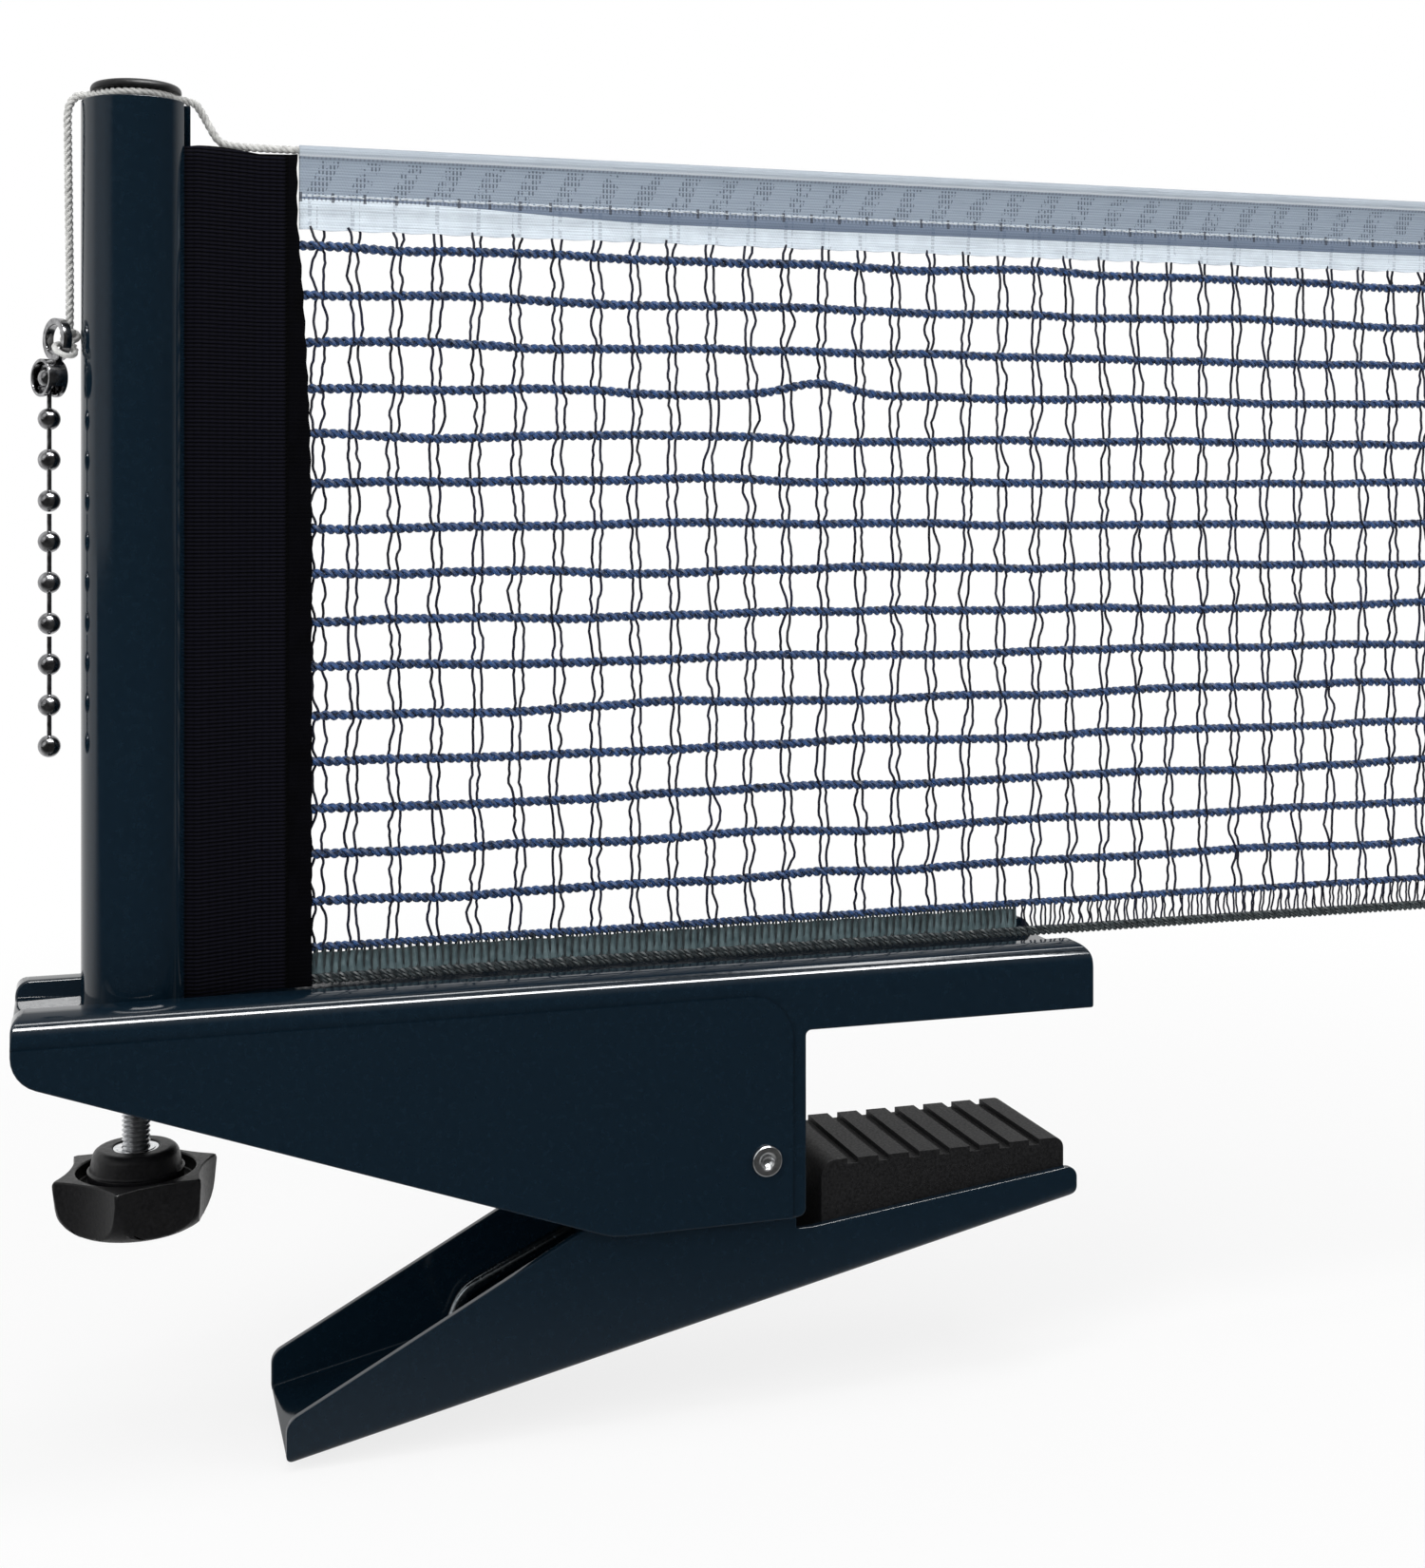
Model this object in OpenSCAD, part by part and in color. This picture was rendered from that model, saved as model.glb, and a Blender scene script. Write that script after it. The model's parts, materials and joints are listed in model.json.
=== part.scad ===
// Table tennis net clamp: a sprung jaw for the table's edge, a slit net post on a height screw,
// and the end of the net that the post holds.
// Millimetres, +Z up. The origin is where the table's top edge sits in the jaw: z = 0 is the
// table's top, x = 0 its side, +X runs over the table along the net, and -Y is the front.

/* [Table and pads] */
// Thickness of the table top in the jaw
table_t = 25; // [20:0.5:28]
// How far the jaw reaches over the table
grip_len = 57.5; // [48:0.5:64]
// Depth of the cross grooves in both pads
groove_d = 1; // [0.6:0.1:1.4]
// How far the upper pad reaches behind the table's side
pad_back = 4; // [3:0.5:5]
// Number of cross grooves in each pad
groove_n = 7; // [4:1:9]

/* [Pressed arm] */
// How far the arm reaches out from the table's side
arm_out = 136; // [132:0.5:145]
// Overall width of the arm
arm_w = 36; // [35:0.5:40]
// Sheet thickness of the arm
arm_sheet = 1.5; // [1.2:0.1:1.8]
// Height of the ridge crests above the table
ridge_h = 12; // [11:0.25:13.5]
// Width of each ridge
ridge_w = 7.2; // [6.8:0.1:7.6]
// Outer bend radius of the ridges
ridge_r = 4.5; // [3.5:0.25:5]
// Depth of the trough between the ridges
trough_d = 3; // [2:0.25:3.5]
// How far the side walls hang below the table's top at the pivot
skirt_drop = 33.5; // [32.5:0.25:35]
// Length of the level lower edge beside the pivot
skirt_flat = 36; // [32:0.5:42]
// Height of the outer end's lower corner
nose_z = 1.6; // [0.5:0.1:3]
// How far the pressed side panels stand proud
panel_d = 0.6; // [0.4:0.1:0.8]

/* [Pivot and spring] */
// Distance of the pivot from the table's side
pivot_in = 7.8; // [7.6:0.1:9]
// Depth of the pivot below the table's top
pivot_drop = 22.5; // [21.5:0.25:23.5]
// Diameter of the rivet's shank
rivet_d = 4; // [3.6:0.1:4.4]
// Diameter of the rivet's flared rims
rivet_rim = 5.6; // [5.2:0.1:6.4]
// Diameter of the rivet's hollow
rivet_bore = 2.4; // [2:0.1:2.6]
// Wire diameter of the spring
wire_d = 2.4; // [2:0.1:2.6]
// Full turns in each of the spring's two coils
coil_turns = 2; // [1:1:2]
// Gap between neighbouring turns
coil_gap = 0.6; // [0.5:0.05:0.7]
// Reach of the spring's loop along the lever, from the pivot
loop_len = 52; // [45:1:60]
// How far the loop's feet are bent down on to the lever
loop_foot = 6; // [5:0.5:8]

/* [Lever] */
// Room for a washer between the lever and each wall of the arm
washer_room = 0.5; // [0.4:0.05:0.8]
// Sheet thickness of the lever
lever_sheet = 1.5; // [1.2:0.1:1.8]
// How far the lever reaches out from the table's side
lever_out = 92; // [84:0.5:96]
// Depth of the lever's outer end below the table's top
tail_drop = 67.2; // [62:0.2:70]
// Wall height at the outer end
tail_h = 7.5; // [5:0.25:9]
// Rounding of the outer end's upper corner
tail_r = 3; // [2:0.5:6]
// Radius of the pivot ears
ear_r = 6.6; // [6:0.1:7]
// Wall height at the jaw's tip
tip_h = 6; // [4.5:0.25:6.5]
// Space between the jaw's tip wall and the table
tip_gap = 5; // [3.5:0.25:6]

/* [Post] */
// Distance of the post's axis from the arm's outer end
post_end = 20; // [18:0.5:23]
// Outer diameter of the post
post_d = 18.2; // [17.4:0.1:18.4]
// Wall of the post tube
post_wall = 1.2; // [1:0.1:1.4]
// Height of the post's rim above the table
post_top = 163.6; // [161.5:0.2:170]
// Width of the slit for the net's band
slit_w = 3.2; // [2.8:0.1:3.4]
// How far the slit is turned from the net's plane, towards the front
slit_turn = 20; // [15:1:24]
// Diameter of the cap's head
cap_d = 15.2; // [14.4:0.1:15.6]
// Thickness of the cap's head
cap_t = 1.4; // [1:0.1:2]
// Height of the cord groove under the head
cap_groove = 1.7; // [1.6:0.1:2]
// Diameter of the neck in the groove
neck_d = 11.2; // [10:0.1:11.4]

/* [Height screw and knob] */
// Diameter of the screw
screw_d = 4.8; // [4.4:0.1:5]
// Length of the screw inside the knob
screw_in = 9; // [6:0.5:9]
// Height of the screw bracket's side flanges above its floor
bracket_h = 5; // [4:0.5:6]
// Height of the screw's upper end above the table
screw_top = 26; // [18:1:40]
// Diameter of the knob over its lobes
knob_d = 28.8; // [28:0.2:32]
// Number of lobes
knob_lobes = 6; // [6:1:8]
// How far the scallops between the lobes reach in from the tips
scallop = 3.2; // [2.8:0.1:3.4]
// Turn of the first lobe from the net's plane
lobe_turn = 16; // [0:1:59]
// Height of the knob's rim
knob_h = 9.7; // [8:0.1:11]
// Level of the hub's top below the table's top
hub_drop = 15.3; // [14:0.1:17]
// Diameter of the hub
hub_d = 14; // [12.5:0.25:15]
// How far the hub stands above the rim
hub_h = 3.7; // [3:0.1:5]

/* [Net] */
// Height of the net's top above the table
net_top = 158; // [156:0.2:158.4]
// Height of the net's bottom above the table
net_bottom = 10.2; // [10.1:0.05:10.6]
// Height of the white tape
tape_h = 14.8; // [12:0.2:15]
// Height of the knitted hem
hem_h = 6.9; // [5:0.1:9]
// Width of the band outside the slit
band_w = 20.6; // [18:0.2:24]
// Thickness of the folded band
band_t = 2.2; // [1.8:0.1:2.4]
// Where the net ends over the table
net_end = 146; // [120:1:200]
// Distance between the net's cords
mesh_z = 8.24; // [7.5:0.02:8.28]
// Gaps along the net
mesh_n = 20; // [12:1:20]
// Diameter of the rod in the band
rod_d = 3; // [2.6:0.1:3.2]

/* [Cord and chain] */
// Diameter of the tension cord
cord_d = 1.4; // [1.1:0.05:1.4]
// How far the coupling's eye hangs below the post's rim
eye_drop = 40.7; // [36:0.5:46]
// Outer diameter of the coupling's eye
eye_d = 7.3; // [6.8:0.1:7.6]
// Inner diameter of the eye
eye_bore = 5.1; // [4.6:0.1:5.4]
// Outer diameter of the coupling's barrel
barrel_d = 6.5; // [6.2:0.1:6.8]
// Length of the barrel
barrel_l = 3.5; // [3:0.1:3.8]
// Diameter of the chain's balls
ball_d = 3.8; // [3.2:0.1:4]
// Distance between the balls
ball_pitch = 6.94; // [6:0.02:7.4]
// Diameter of the links between the balls
link_d = 0.8; // [0.7:0.05:0.9]

/* [Hidden] */
$fn = 48;
eps = 0.02;

run = 0.06; // running clearance on a radius
seat = 0.1; // gap under a piece that rests on another
paint = "#1b2c3a";
paint_in = "#16222d";
black = "#141416";
zinc = "#b9bcc0";

// Arm
arm_in = arm_w - 2 * arm_sheet - 2 * panel_d; // width inside the walls
trough_z = ridge_h - trough_d;
trough_under = trough_z - arm_sheet;
trough_w = arm_w - 2 * panel_d - 2 * ridge_w; // width of the trough at the crests
trough_foot = 1.1; // how much narrower the trough's floor is on each side
wall_slope = (nose_z + skirt_drop) / (arm_out - skirt_flat);
function wall_low(x) = nose_z - wall_slope * (x + arm_out);

// Pivot
pivot = [-pivot_in, 0, -pivot_drop];
ear_hole = rivet_d / 2 + run;
washer_t = washer_room - 2 * 0.08;
lever_w = arm_in - 2 * washer_room;

// Lever: its floor runs from the outer end's lower corner to the jaw's tip
tip_x = grip_len - 2.5;
tip_low = -table_t - tip_gap - tip_h;
lever_tilt = atan((tip_low + tail_drop) / (tip_x + lever_out));
lever_run = norm([tip_x + lever_out, tip_low + tail_drop]);
function floor_z(x) = -tail_drop + tan(lever_tilt) * (x + lever_out);
function floor_top(x) = floor_z(x) + lever_sheet / cos(lever_tilt);
jaw_root = [-1.2, -skirt_drop - 2.7];
tail_corner = [-lever_out, -tail_drop + tail_h];
ear_far = norm([tail_corner[0] + pivot_in, tail_corner[1] + pivot_drop]);
ear_angle = atan2(-pivot_drop - tail_corner[1], -pivot_in - tail_corner[0])
    + asin(ear_r / ear_far);
ear_reach = sqrt(ear_far * ear_far - ear_r * ear_r);
ear_tangent = tail_corner + ear_reach * [cos(ear_angle), sin(ear_angle)];
bend_r = 2.2; // outer bend radius of the lever's floor

// Spring
coil_r = 5;
coil_pitch = wire_d + coil_gap;
leg_y = lever_w / 2 - lever_sheet - wire_d / 2 - 0.5;
foot_r = 2.8; // bend radius of the loop's feet and corners
loop_x = -pivot_in - loop_len;
loop_z = floor_top(loop_x) + wire_d / 2 + 0.3;
sleeve_r = coil_r - wire_d / 2 - 0.5;

// Post and screw
post_in = arm_out - post_end; // distance of the post's axis from the table's side
post_r = post_d / 2;
post_bore = post_r - post_wall;
post_low = 0; // lower end of the tube, inside the arm
foot_low = 1.6;
foot_high = net_bottom - 0.8;
nut_t = 4;
nut_af = 8;
nut_low = foot_low + 0.6;
bracket_t = 1.5;
bracket_top = -1.9;
bracket_w = 13;
washer_z = bracket_top + 0.05;
thrust_t = 0.7;
collar_t = 0.9;
clip_t = 0.8;
cap_low = post_top - 5;
screw_hole = screw_d / 2 + 0.3;

// Net: a point on the slit's middle plane, at the distance r from the post's axis
function on_slit(r) = [-post_in + r * cos(slit_turn), -r * sin(slit_turn)];
rod_wrap = 0.75; // cloth round the rod
rod_at = on_slit(post_bore - rod_d / 2 - rod_wrap - 0.35);
band_x = -post_in + post_r + band_w;
band_top = net_top - 1.8;
mesh_low = net_bottom + hem_h;
mesh_high = net_top - tape_h;
cord_w = 1; // width of the netting's cords
mesh_x = (net_end - band_x) / mesh_n;

// Knob
hub_z = -hub_drop;
rim_z = hub_z - hub_h;
knob_low = rim_z - knob_h;
rim_in = hub_d / 2 + 3;
insert_r = 3.3;

// Cord: from the tape's end, over the rim, round the front of the cap's neck, over the rim again
// and down beside the post to the coupling's eye
over = post_top + 0.9; // level of the cord on the rim and round the neck
function beside(r, y, z) = [-post_in + r, y, z];
function round_neck(a) =
    [-post_in + (neck_d / 2 + 1) * cos(a), (neck_d / 2 + 1) * sin(a), over];
function down(share) = post_top - eye_drop * share;
eye_c = beside(-post_r - 3.8, 0.4, down(1));
cord_route = [
    [band_x - 0.15, 0, net_top - 0.9], [band_x - 3.7, 0, net_top - 0.9],
    [band_x - 8.7, 0, net_top - 0.9], beside(post_r + 7.4, 0, net_top - 0.8),
    beside(post_r + 5.2, 0, net_top - 0.3), beside(post_r + 4.1, 0, net_top + 0.8),
    beside(post_r + 3.1, -0.1, over - 4), beside(post_r + 2, -0.2, over - 2.1),
    beside(post_r + 0.7, -0.4, over - 0.4),
    beside(post_r - 1.4, -0.9, over), beside(post_r - 2.9, -2.2, over),
    round_neck(-40), round_neck(-65), round_neck(-90), round_neck(-115), round_neck(-140),
    beside(-post_r + 2.5, -2.2, over), beside(-post_r + 1, -0.9, over),
    beside(-post_r - 0.6, -0.3, over - 0.15), beside(-post_r - 1.7, 0, over - 1.4),
    beside(-post_r - 2.1, 0, over - 3.3), beside(-post_r - 2.1, 0, down(0.14)),
    beside(-post_r - 2, 0.2, down(0.33)), beside(-post_r - 1.9, 0.5, down(0.53)),
    beside(-post_r - 1.8, 1, down(0.73)), beside(-post_r - 1.8, 1.4, down(0.88)),
    eye_c + [2, 1.1, 0.7], eye_c + [2.3, 0.3, -0.5], eye_c + [2.65, -0.7, -1.5],
    eye_c + [2.8, -1.3, -2]];

// Chain
ball_c = eye_c + [-1.3, -0.4, 0.3 - (eye_d + barrel_d) / 2];
eye_turn = 30; // the coupling's axis, from the net's plane towards the back
knot_d = 3;
loop_at = 37; // where the cord's loop holds the eye, below its middle

// ---- helpers ----

function unit(v) = v / norm(v);

// The points of one corner [x, y, radius] between its neighbours, in steps of about 12 degrees
function corner(a, c, b) =
    let (p = [c[0], c[1]], u = unit([a[0], a[1]] - p), v = unit([b[0], b[1]] - p),
        half = acos(u * v) / 2, r = c[2])
    r == 0 ? [p] :
    let (m = p + unit(u + v) * r / sin(half), s = p + u * r / tan(half) - m,
        e = p + v * r / tan(half) - m, a0 = atan2(s[1], s[0]), d = atan2(e[1], e[0]) - a0,
        turn = d > 180 ? d - 360 : d < -180 ? d + 360 : d, n = ceil(abs(turn) / 12))
    [for (i = [0 : n]) m + r * [cos(a0 + turn * i / n), sin(a0 + turn * i / n)]];

// An outline from corners [x, y, radius]
function outline(c) =
    let (n = len(c)) [for (i = [0 : n - 1]) each corner(c[(i + n - 1) % n], c[i], c[(i + 1) % n])];

// A bent strip of thickness t along the points p
function left(a, b) = let (u = unit(b - a)) [-u[1], u[0]];
function mitre(p, i, t) =
    let (n = len(p) - 1, a = left(p[max(i, 1) - 1], p[max(i, 1)]),
        b = left(p[min(i, n - 1)], p[min(i, n - 1) + 1]), m = unit(a + b)) p[i] + m * t / (m * a);
function strip(p, t) = concat([for (i = [0 : len(p) - 1]) mitre(p, i, t / 2)],
    [for (i = [len(p) - 1 : -1 : 0]) mitre(p, i, -t / 2)]);

// A side shape in X and Z, as thick as w, centred on the net's plane
module side(w) {
    rotate([90, 0, 0]) linear_extrude(w, center = true) children();
}

// A section in Y and Z, run along X from x0 to x1
module along(x0, x1) {
    translate([x0, 0, 0]) rotate([90, 0, 90]) linear_extrude(x1 - x0) children();
}

// A cylinder along Y, centred on the pivot's axis
module on_pivot(r, w) {
    translate(pivot) rotate([90, 0, 0]) cylinder(r = r, h = w, center = true);
}

// An upright cylinder on the post's axis
module on_post(r, z0, z1) {
    translate([-post_in, 0, z0]) cylinder(r = r, h = z1 - z0);
}

function heading(p, i) = unit(p[min(i + 1, len(p) - 1)] - p[max(i - 1, 0)]);
function across(t, s) = unit(s - (s * t) * t);

// One unbroken tube through the points p, of radius r and n sides
module tube(p, r, n, first = [0, 1, 0]) {
    last = len(p) - 1;
    side = [for (i = 0, s = across(heading(p, 0), first); i <= last;
        i = i + 1, s = across(heading(p, min(i, last)), s)) s];
    points = [for (i = [0 : last]) let (t = heading(p, i), b = cross(t, side[i]))
        for (k = [0 : n - 1]) p[i] + r * (cos(360 * k / n) * side[i] + sin(360 * k / n) * b)];
    walls = [for (i = [0 : last - 1]) for (k = [0 : n - 1])
        let (a = i * n + k, b = i * n + (k + 1) % n, c = a + n, d = b + n)
        each [[a, c, b], [b, c, d]]];
    caps = [for (k = [1 : n - 2]) each [[0, k, k + 1], [last * n, last * n + k + 1, last * n + k]]];
    polyhedron(points, concat(walls, caps), convexity = 10);
}

// ---- arm ----

// The pressed section, outer skin grown inwards by t
module arm_skin(t) {
    half = arm_w / 2 - panel_d;
    difference() {
        polygon(outline([[-half + t, -skirt_drop - 5, 0], [half - t, -skirt_drop - 5, 0],
            [half - t, ridge_h - t, ridge_r - t * 0.8], [-half + t, ridge_h - t, ridge_r - t * 0.8]]));
        polygon(outline([[-trough_w / 2 + trough_foot - t, trough_z - t, 0],
            [trough_w / 2 - trough_foot + t, trough_z - t, 0],
            [trough_w / 2 + t, ridge_h + eps, 0], [-trough_w / 2 - t, ridge_h + eps, 0]]));
    }
}

// What the side walls look like from the front
module arm_side(t) {
    polygon(outline([[-arm_out + t, ridge_h + eps, 2.5], [grip_len - t, ridge_h + eps, 3],
        [grip_len - t, 0, 0.5], [0, 0, 1], [0, -skirt_drop, 1.5], [-skirt_flat, -skirt_drop, 12],
        [-arm_out + t, nose_z, 6]]));
}

// The raised panel on each side wall, before the walls are trimmed
module panel_side() {
    polygon(outline([[-arm_out - 5, ridge_h - ridge_r - 0.6, 0], [-2.8, ridge_h - ridge_r - 0.6, 8],
        [-2.8, -skirt_drop - 5, 0], [-arm_out - 5, -skirt_drop - 5, 0]]));
}

module arm() {
    color(paint) difference() {
        intersection() {
            union() {
                along(-arm_out, grip_len) arm_skin(0);
                for (s = [-1, 1]) translate([0, s * (arm_w - panel_d - 0.5) / 2, 0])
                    side(panel_d + 0.5) panel_side();
            }
            side(arm_w + 1) arm_side(0);
        }
        along(-arm_out + arm_sheet, grip_len - arm_sheet) arm_skin(arm_sheet);
        on_pivot(rivet_d / 2, arm_w + 2);
        on_post(post_r + run * 3, trough_under - 1, trough_z + 1);
    }
}

// ---- lever ----

module lever_outline() {
    difference() {
        union() {
            translate([-pivot_in, -pivot_drop]) circle(ear_r);
            polygon(outline([[-lever_out, floor_z(-lever_out), 1.5], [tip_x, tip_low, 2],
                [tip_x, tip_low + tip_h, 2], [jaw_root[0] + 3, jaw_root[1], 0],
                [jaw_root[0], jaw_root[1], 0], [-pivot_in + ear_r, -pivot_drop, 0],
                [-pivot_in, -pivot_drop, 0], [ear_tangent[0], ear_tangent[1], 0],
                [tail_corner[0], tail_corner[1], tail_r]]));
        }
        translate([-pivot_in, -pivot_drop]) circle(ear_hole);
    }
}

// The lever's floor and walls across its length
module lever_skin(t) {
    half = lever_w / 2 - t;
    r = bend_r - t;
    polygon(outline([[-half, t, r], [half, t, r], [half, tail_drop, 0], [-half, tail_drop, 0]]));
}

// A section across the lever, run along its floor from x0 to x1
module along_floor(x0, x1) {
    translate([-lever_out, 0, -tail_drop]) rotate([0, -lever_tilt, 0]) along(x0, x1) children();
}

module lever() {
    color(paint_in) difference() {
        intersection() {
            along_floor(-10, lever_run + 10) lever_skin(0);
            side(lever_w + 1) lever_outline();
        }
        along_floor(-20, lever_run + 20) lever_skin(lever_sheet);
        for (x = pad_peg_x) pad_peg(x, 0.15);
    }
}

// ---- pivot ----

module pivot_rivet() {
    b = rivet_bore / 2;
    r = rivet_d / 2;
    m = rivet_rim / 2;
    h = arm_w / 2;
    color(zinc) translate(pivot) rotate([90, 0, 0]) rotate_extrude() polygon(outline([
        [b, -h - 0.5, 0], [b + 0.5, -h - 0.8, 0.3], [m, -h - 0.8, 0.4], [m, -h, 0], [r, -h, 0],
        [r, h, 0], [m, h, 0], [m, h + 0.8, 0.4], [b + 0.5, h + 0.8, 0.3], [b, h + 0.5, 0]]));
}

module pivot_sleeve() {
    color(zinc) difference() {
        on_pivot(sleeve_r, lever_w - 2 * lever_sheet - 2 * seat);
        on_pivot(ear_hole, arm_w);
    }
}

module pivot_washers() {
    color(zinc) for (s = [-1, 1]) translate([0, s * (arm_in - washer_room) / 2, 0]) difference() {
        on_pivot(ear_r - 1.2, washer_t);
        on_pivot(ear_hole, 2);
    }
}

// Points round the bend at b between a and c, starting r before it
function bent(a, b, c, r) = let (p = b + r * unit(a - b), q = b + r * unit(c - b))
    [for (t = [0 : 0.25 : 1]) p * (1 - t) * (1 - t) + b * 2 * t * (1 - t) + q * t * t];

// One half of the spring, from its free end on the arm to the middle of its loop on the lever
arm_leg = 40;
arm_leg_tilt = asin((trough_under + pivot_drop - wire_d / 2 - 0.3 - coil_r * 0.85) / arm_leg);
coil_start = 90 - arm_leg_tilt;
knee = [loop_x + 2.6, leg_y, loop_z + loop_foot];
knee_far = norm([knee[0] + pivot_in, knee[2] + pivot_drop]);
loop_tilt = atan2(-pivot_drop - knee[2], -pivot_in - knee[0]) - asin(coil_r / knee_far);
coil_end = -90 + loop_tilt - 360 * coil_turns;
coil_y0 = leg_y - coil_pitch * (coil_start - coil_end) / 360;
function on_coil(a, y) = pivot + [coil_r * cos(a), y, coil_r * sin(a)];
coil_steps = ceil((coil_start - coil_end) / 45);
loop_from = on_coil(coil_end, leg_y);
loop_foot_at = [loop_x, leg_y, loop_z];
spring_half = concat(
    [for (d = [arm_leg : -arm_leg / 4 : arm_leg / 8]) on_coil(coil_start, coil_y0)
        - d * [cos(arm_leg_tilt), 0, -sin(arm_leg_tilt)]],
    [for (i = [0 : coil_steps]) let (t = i / coil_steps)
        on_coil(coil_start + (coil_end - coil_start) * t, coil_y0 + (leg_y - coil_y0) * t)],
    [for (t = [0.25 : 0.25 : 0.75]) loop_from + (knee - loop_from) * t],
    bent(loop_from, knee, loop_foot_at, foot_r),
    bent(knee, loop_foot_at, [loop_x, 0, loop_z], foot_r));
spring_wire = concat(spring_half, [for (i = [len(spring_half) - 1 : -1 : 0])
    [spring_half[i][0], -spring_half[i][1], spring_half[i][2]]]);

// The least gap between two turns: the coils of one side, and the two innermost turns
spring_gap = min([coil_pitch - wire_d, 2 * coil_y0 - wire_d]);

module torsion_spring() {
    echo(spring_least_gap = spring_gap);
    color("#8d9197") tube(spring_wire, wire_d / 2, 6);
}

// ---- pads ----

module grooves(x0, x1, z) {
    for (i = [1 : groove_n]) translate([x0 + (x1 - x0) * i / (groove_n + 1) - 1, -arm_w, z])
        cube([2, 2 * arm_w, groove_d * 2]);
}

upper_pad_w = arm_in - 0.4;
pad_in = 4.2; // the lower pad's end, clear of the arm's walls

module upper_pad() {
    color(black) difference() {
        along(-pad_back, grip_len - arm_sheet - 0.3)
            translate([-upper_pad_w / 2, 0]) square([upper_pad_w, trough_under - 0.1]);
        grooves(-pad_back, grip_len - arm_sheet, -groove_d);
    }
}

lower_pad_w = lever_w - 2 * lever_sheet - 0.6;
pad_peg_x = [14, 40];

// A moulded peg that holds the pad in the lever's floor
module pad_peg(x, gap) {
    translate([x, 0, floor_z(x) - 1.2 + gap * 0]) cylinder(r = 2 + gap, h = 5);
}

module lower_pad() {
    color(black) {
        difference() {
            side(lower_pad_w) polygon(outline([[pad_in, floor_top(pad_in) + 1.2, 1.2],
                [pad_in + 3, floor_top(pad_in + 3) + 0.1, 0],
                [tip_x - 2, floor_top(tip_x - 2) + 0.1, 0], [tip_x - 2, -table_t, 2],
                [pad_in, -table_t, 3]]));
            grooves(pad_in, tip_x - 2, -table_t - groove_d);
            along_floor(-20, lever_run + 20) difference() {
                translate([-arm_w, -1]) square([2 * arm_w, 6]);
                lever_skin(lever_sheet + 0.1);
            }
        }
        for (x = pad_peg_x) pad_peg(x, 0);
    }
}

// ---- post ----

module post_tube() {
    color(paint) difference() {
        on_post(post_r, post_low, post_top);
        on_post(post_bore, post_low - 1, post_top + 1);
        translate([-post_in, 0, foot_high]) rotate(-slit_turn)
            translate([0, -slit_w / 2, 0]) cube([post_d, slit_w, post_top]);
        for (s = [-1, 1]) foot_pin(s, 0);
    }
}

module post_cap() {
    head = cap_d / 2;
    base = post_top + cap_groove;
    color(black) translate([-post_in, 0, 0]) rotate_extrude() polygon(outline([
        [0, cap_low, 0], [post_bore - 0.1, cap_low, 0.6], [post_bore - 0.1, post_top, 0.3],
        [neck_d / 2, post_top, 0.3], [neck_d / 2, base, 0.3], [head, base, 0.3],
        [head, base + cap_t, 1], [0, base + cap_t + 0.3, 0]]));
}

// A short pin through the tube's wall into the foot, on the front (-1) or the back (1)
module foot_pin(s, grow) {
    translate([-post_in, 0, foot_high - 1.6]) rotate([-90 * s, 0, 0])
        translate([0, 0, post_bore - 2.2]) cylinder(r = 0.8 + grow, h = 2.2 + post_wall - 0.15);
}

module foot_pins() {
    color(zinc) for (s = [-1, 1]) foot_pin(s, 0);
}

module post_foot() {
    color(black) difference() {
        on_post(post_bore - 0.05, foot_low, foot_high);
        on_post(screw_hole, foot_low - 1, foot_high + 1);
        translate([-post_in, 0, foot_low - 1])
            cylinder(r = nut_af / 2 / cos(30) + 0.05, h = nut_low + nut_t - foot_low + 1, $fn = 6);
        for (s = [-1, 1]) foot_pin(s, 0);
    }
}

module height_nut() {
    color(zinc) difference() {
        translate([-post_in, 0, nut_low]) cylinder(r = nut_af / 2 / cos(30), h = nut_t, $fn = 6);
        on_post(screw_d / 2 + run, nut_low - 1, nut_low + nut_t + 1);
    }
}

// ---- height screw and knob ----

module screw_bracket() {
    color(zinc) difference() {
        translate([-post_in, 0, bracket_top]) along(-bracket_w / 2, bracket_w / 2) difference() {
            polygon(outline([[-arm_in / 2, bracket_h, 0], [-arm_in / 2, -bracket_t, 2],
                [arm_in / 2, -bracket_t, 2], [arm_in / 2, bracket_h, 0]]));
            polygon(outline([[-arm_in / 2 + bracket_t, bracket_h + bracket_t, 0],
                [-arm_in / 2 + bracket_t, 0, 0.5], [arm_in / 2 - bracket_t, 0, 0.5],
                [arm_in / 2 - bracket_t, bracket_h + bracket_t, 0]]));
        }
        on_post(screw_d / 2 + run, bracket_top - 2 * bracket_t, bracket_top + bracket_t);
    }
}

module adjusting_screw() {
    color(zinc) {
        on_post(screw_d / 2, hub_z - screw_in, screw_top - 0.8);
        translate([-post_in, 0, screw_top - 0.8])
            cylinder(r1 = screw_d / 2, r2 = screw_d / 2 - 0.8, h = 0.8);
        on_post(screw_d / 2 + 2, washer_z + thrust_t + 0.05, washer_z + thrust_t + 0.05 + collar_t);
    }
}

module thrust_washer() {
    color(zinc) difference() {
        on_post(screw_d / 2 + 2.4, washer_z, washer_z + thrust_t);
        on_post(screw_d / 2 + run, washer_z - 1, washer_z + 2);
    }
}

module screw_clip() {
    z = bracket_top - bracket_t - 0.05;
    color(zinc) difference() {
        on_post(screw_d / 2 + 1.9, z - clip_t, z);
        on_post(screw_d / 2, z - 2, z + 1);
        translate([-post_in, -screw_d / 2 + 0.6, z - 2]) cube([10, screw_d - 1.2, 3]);
    }
}

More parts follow.
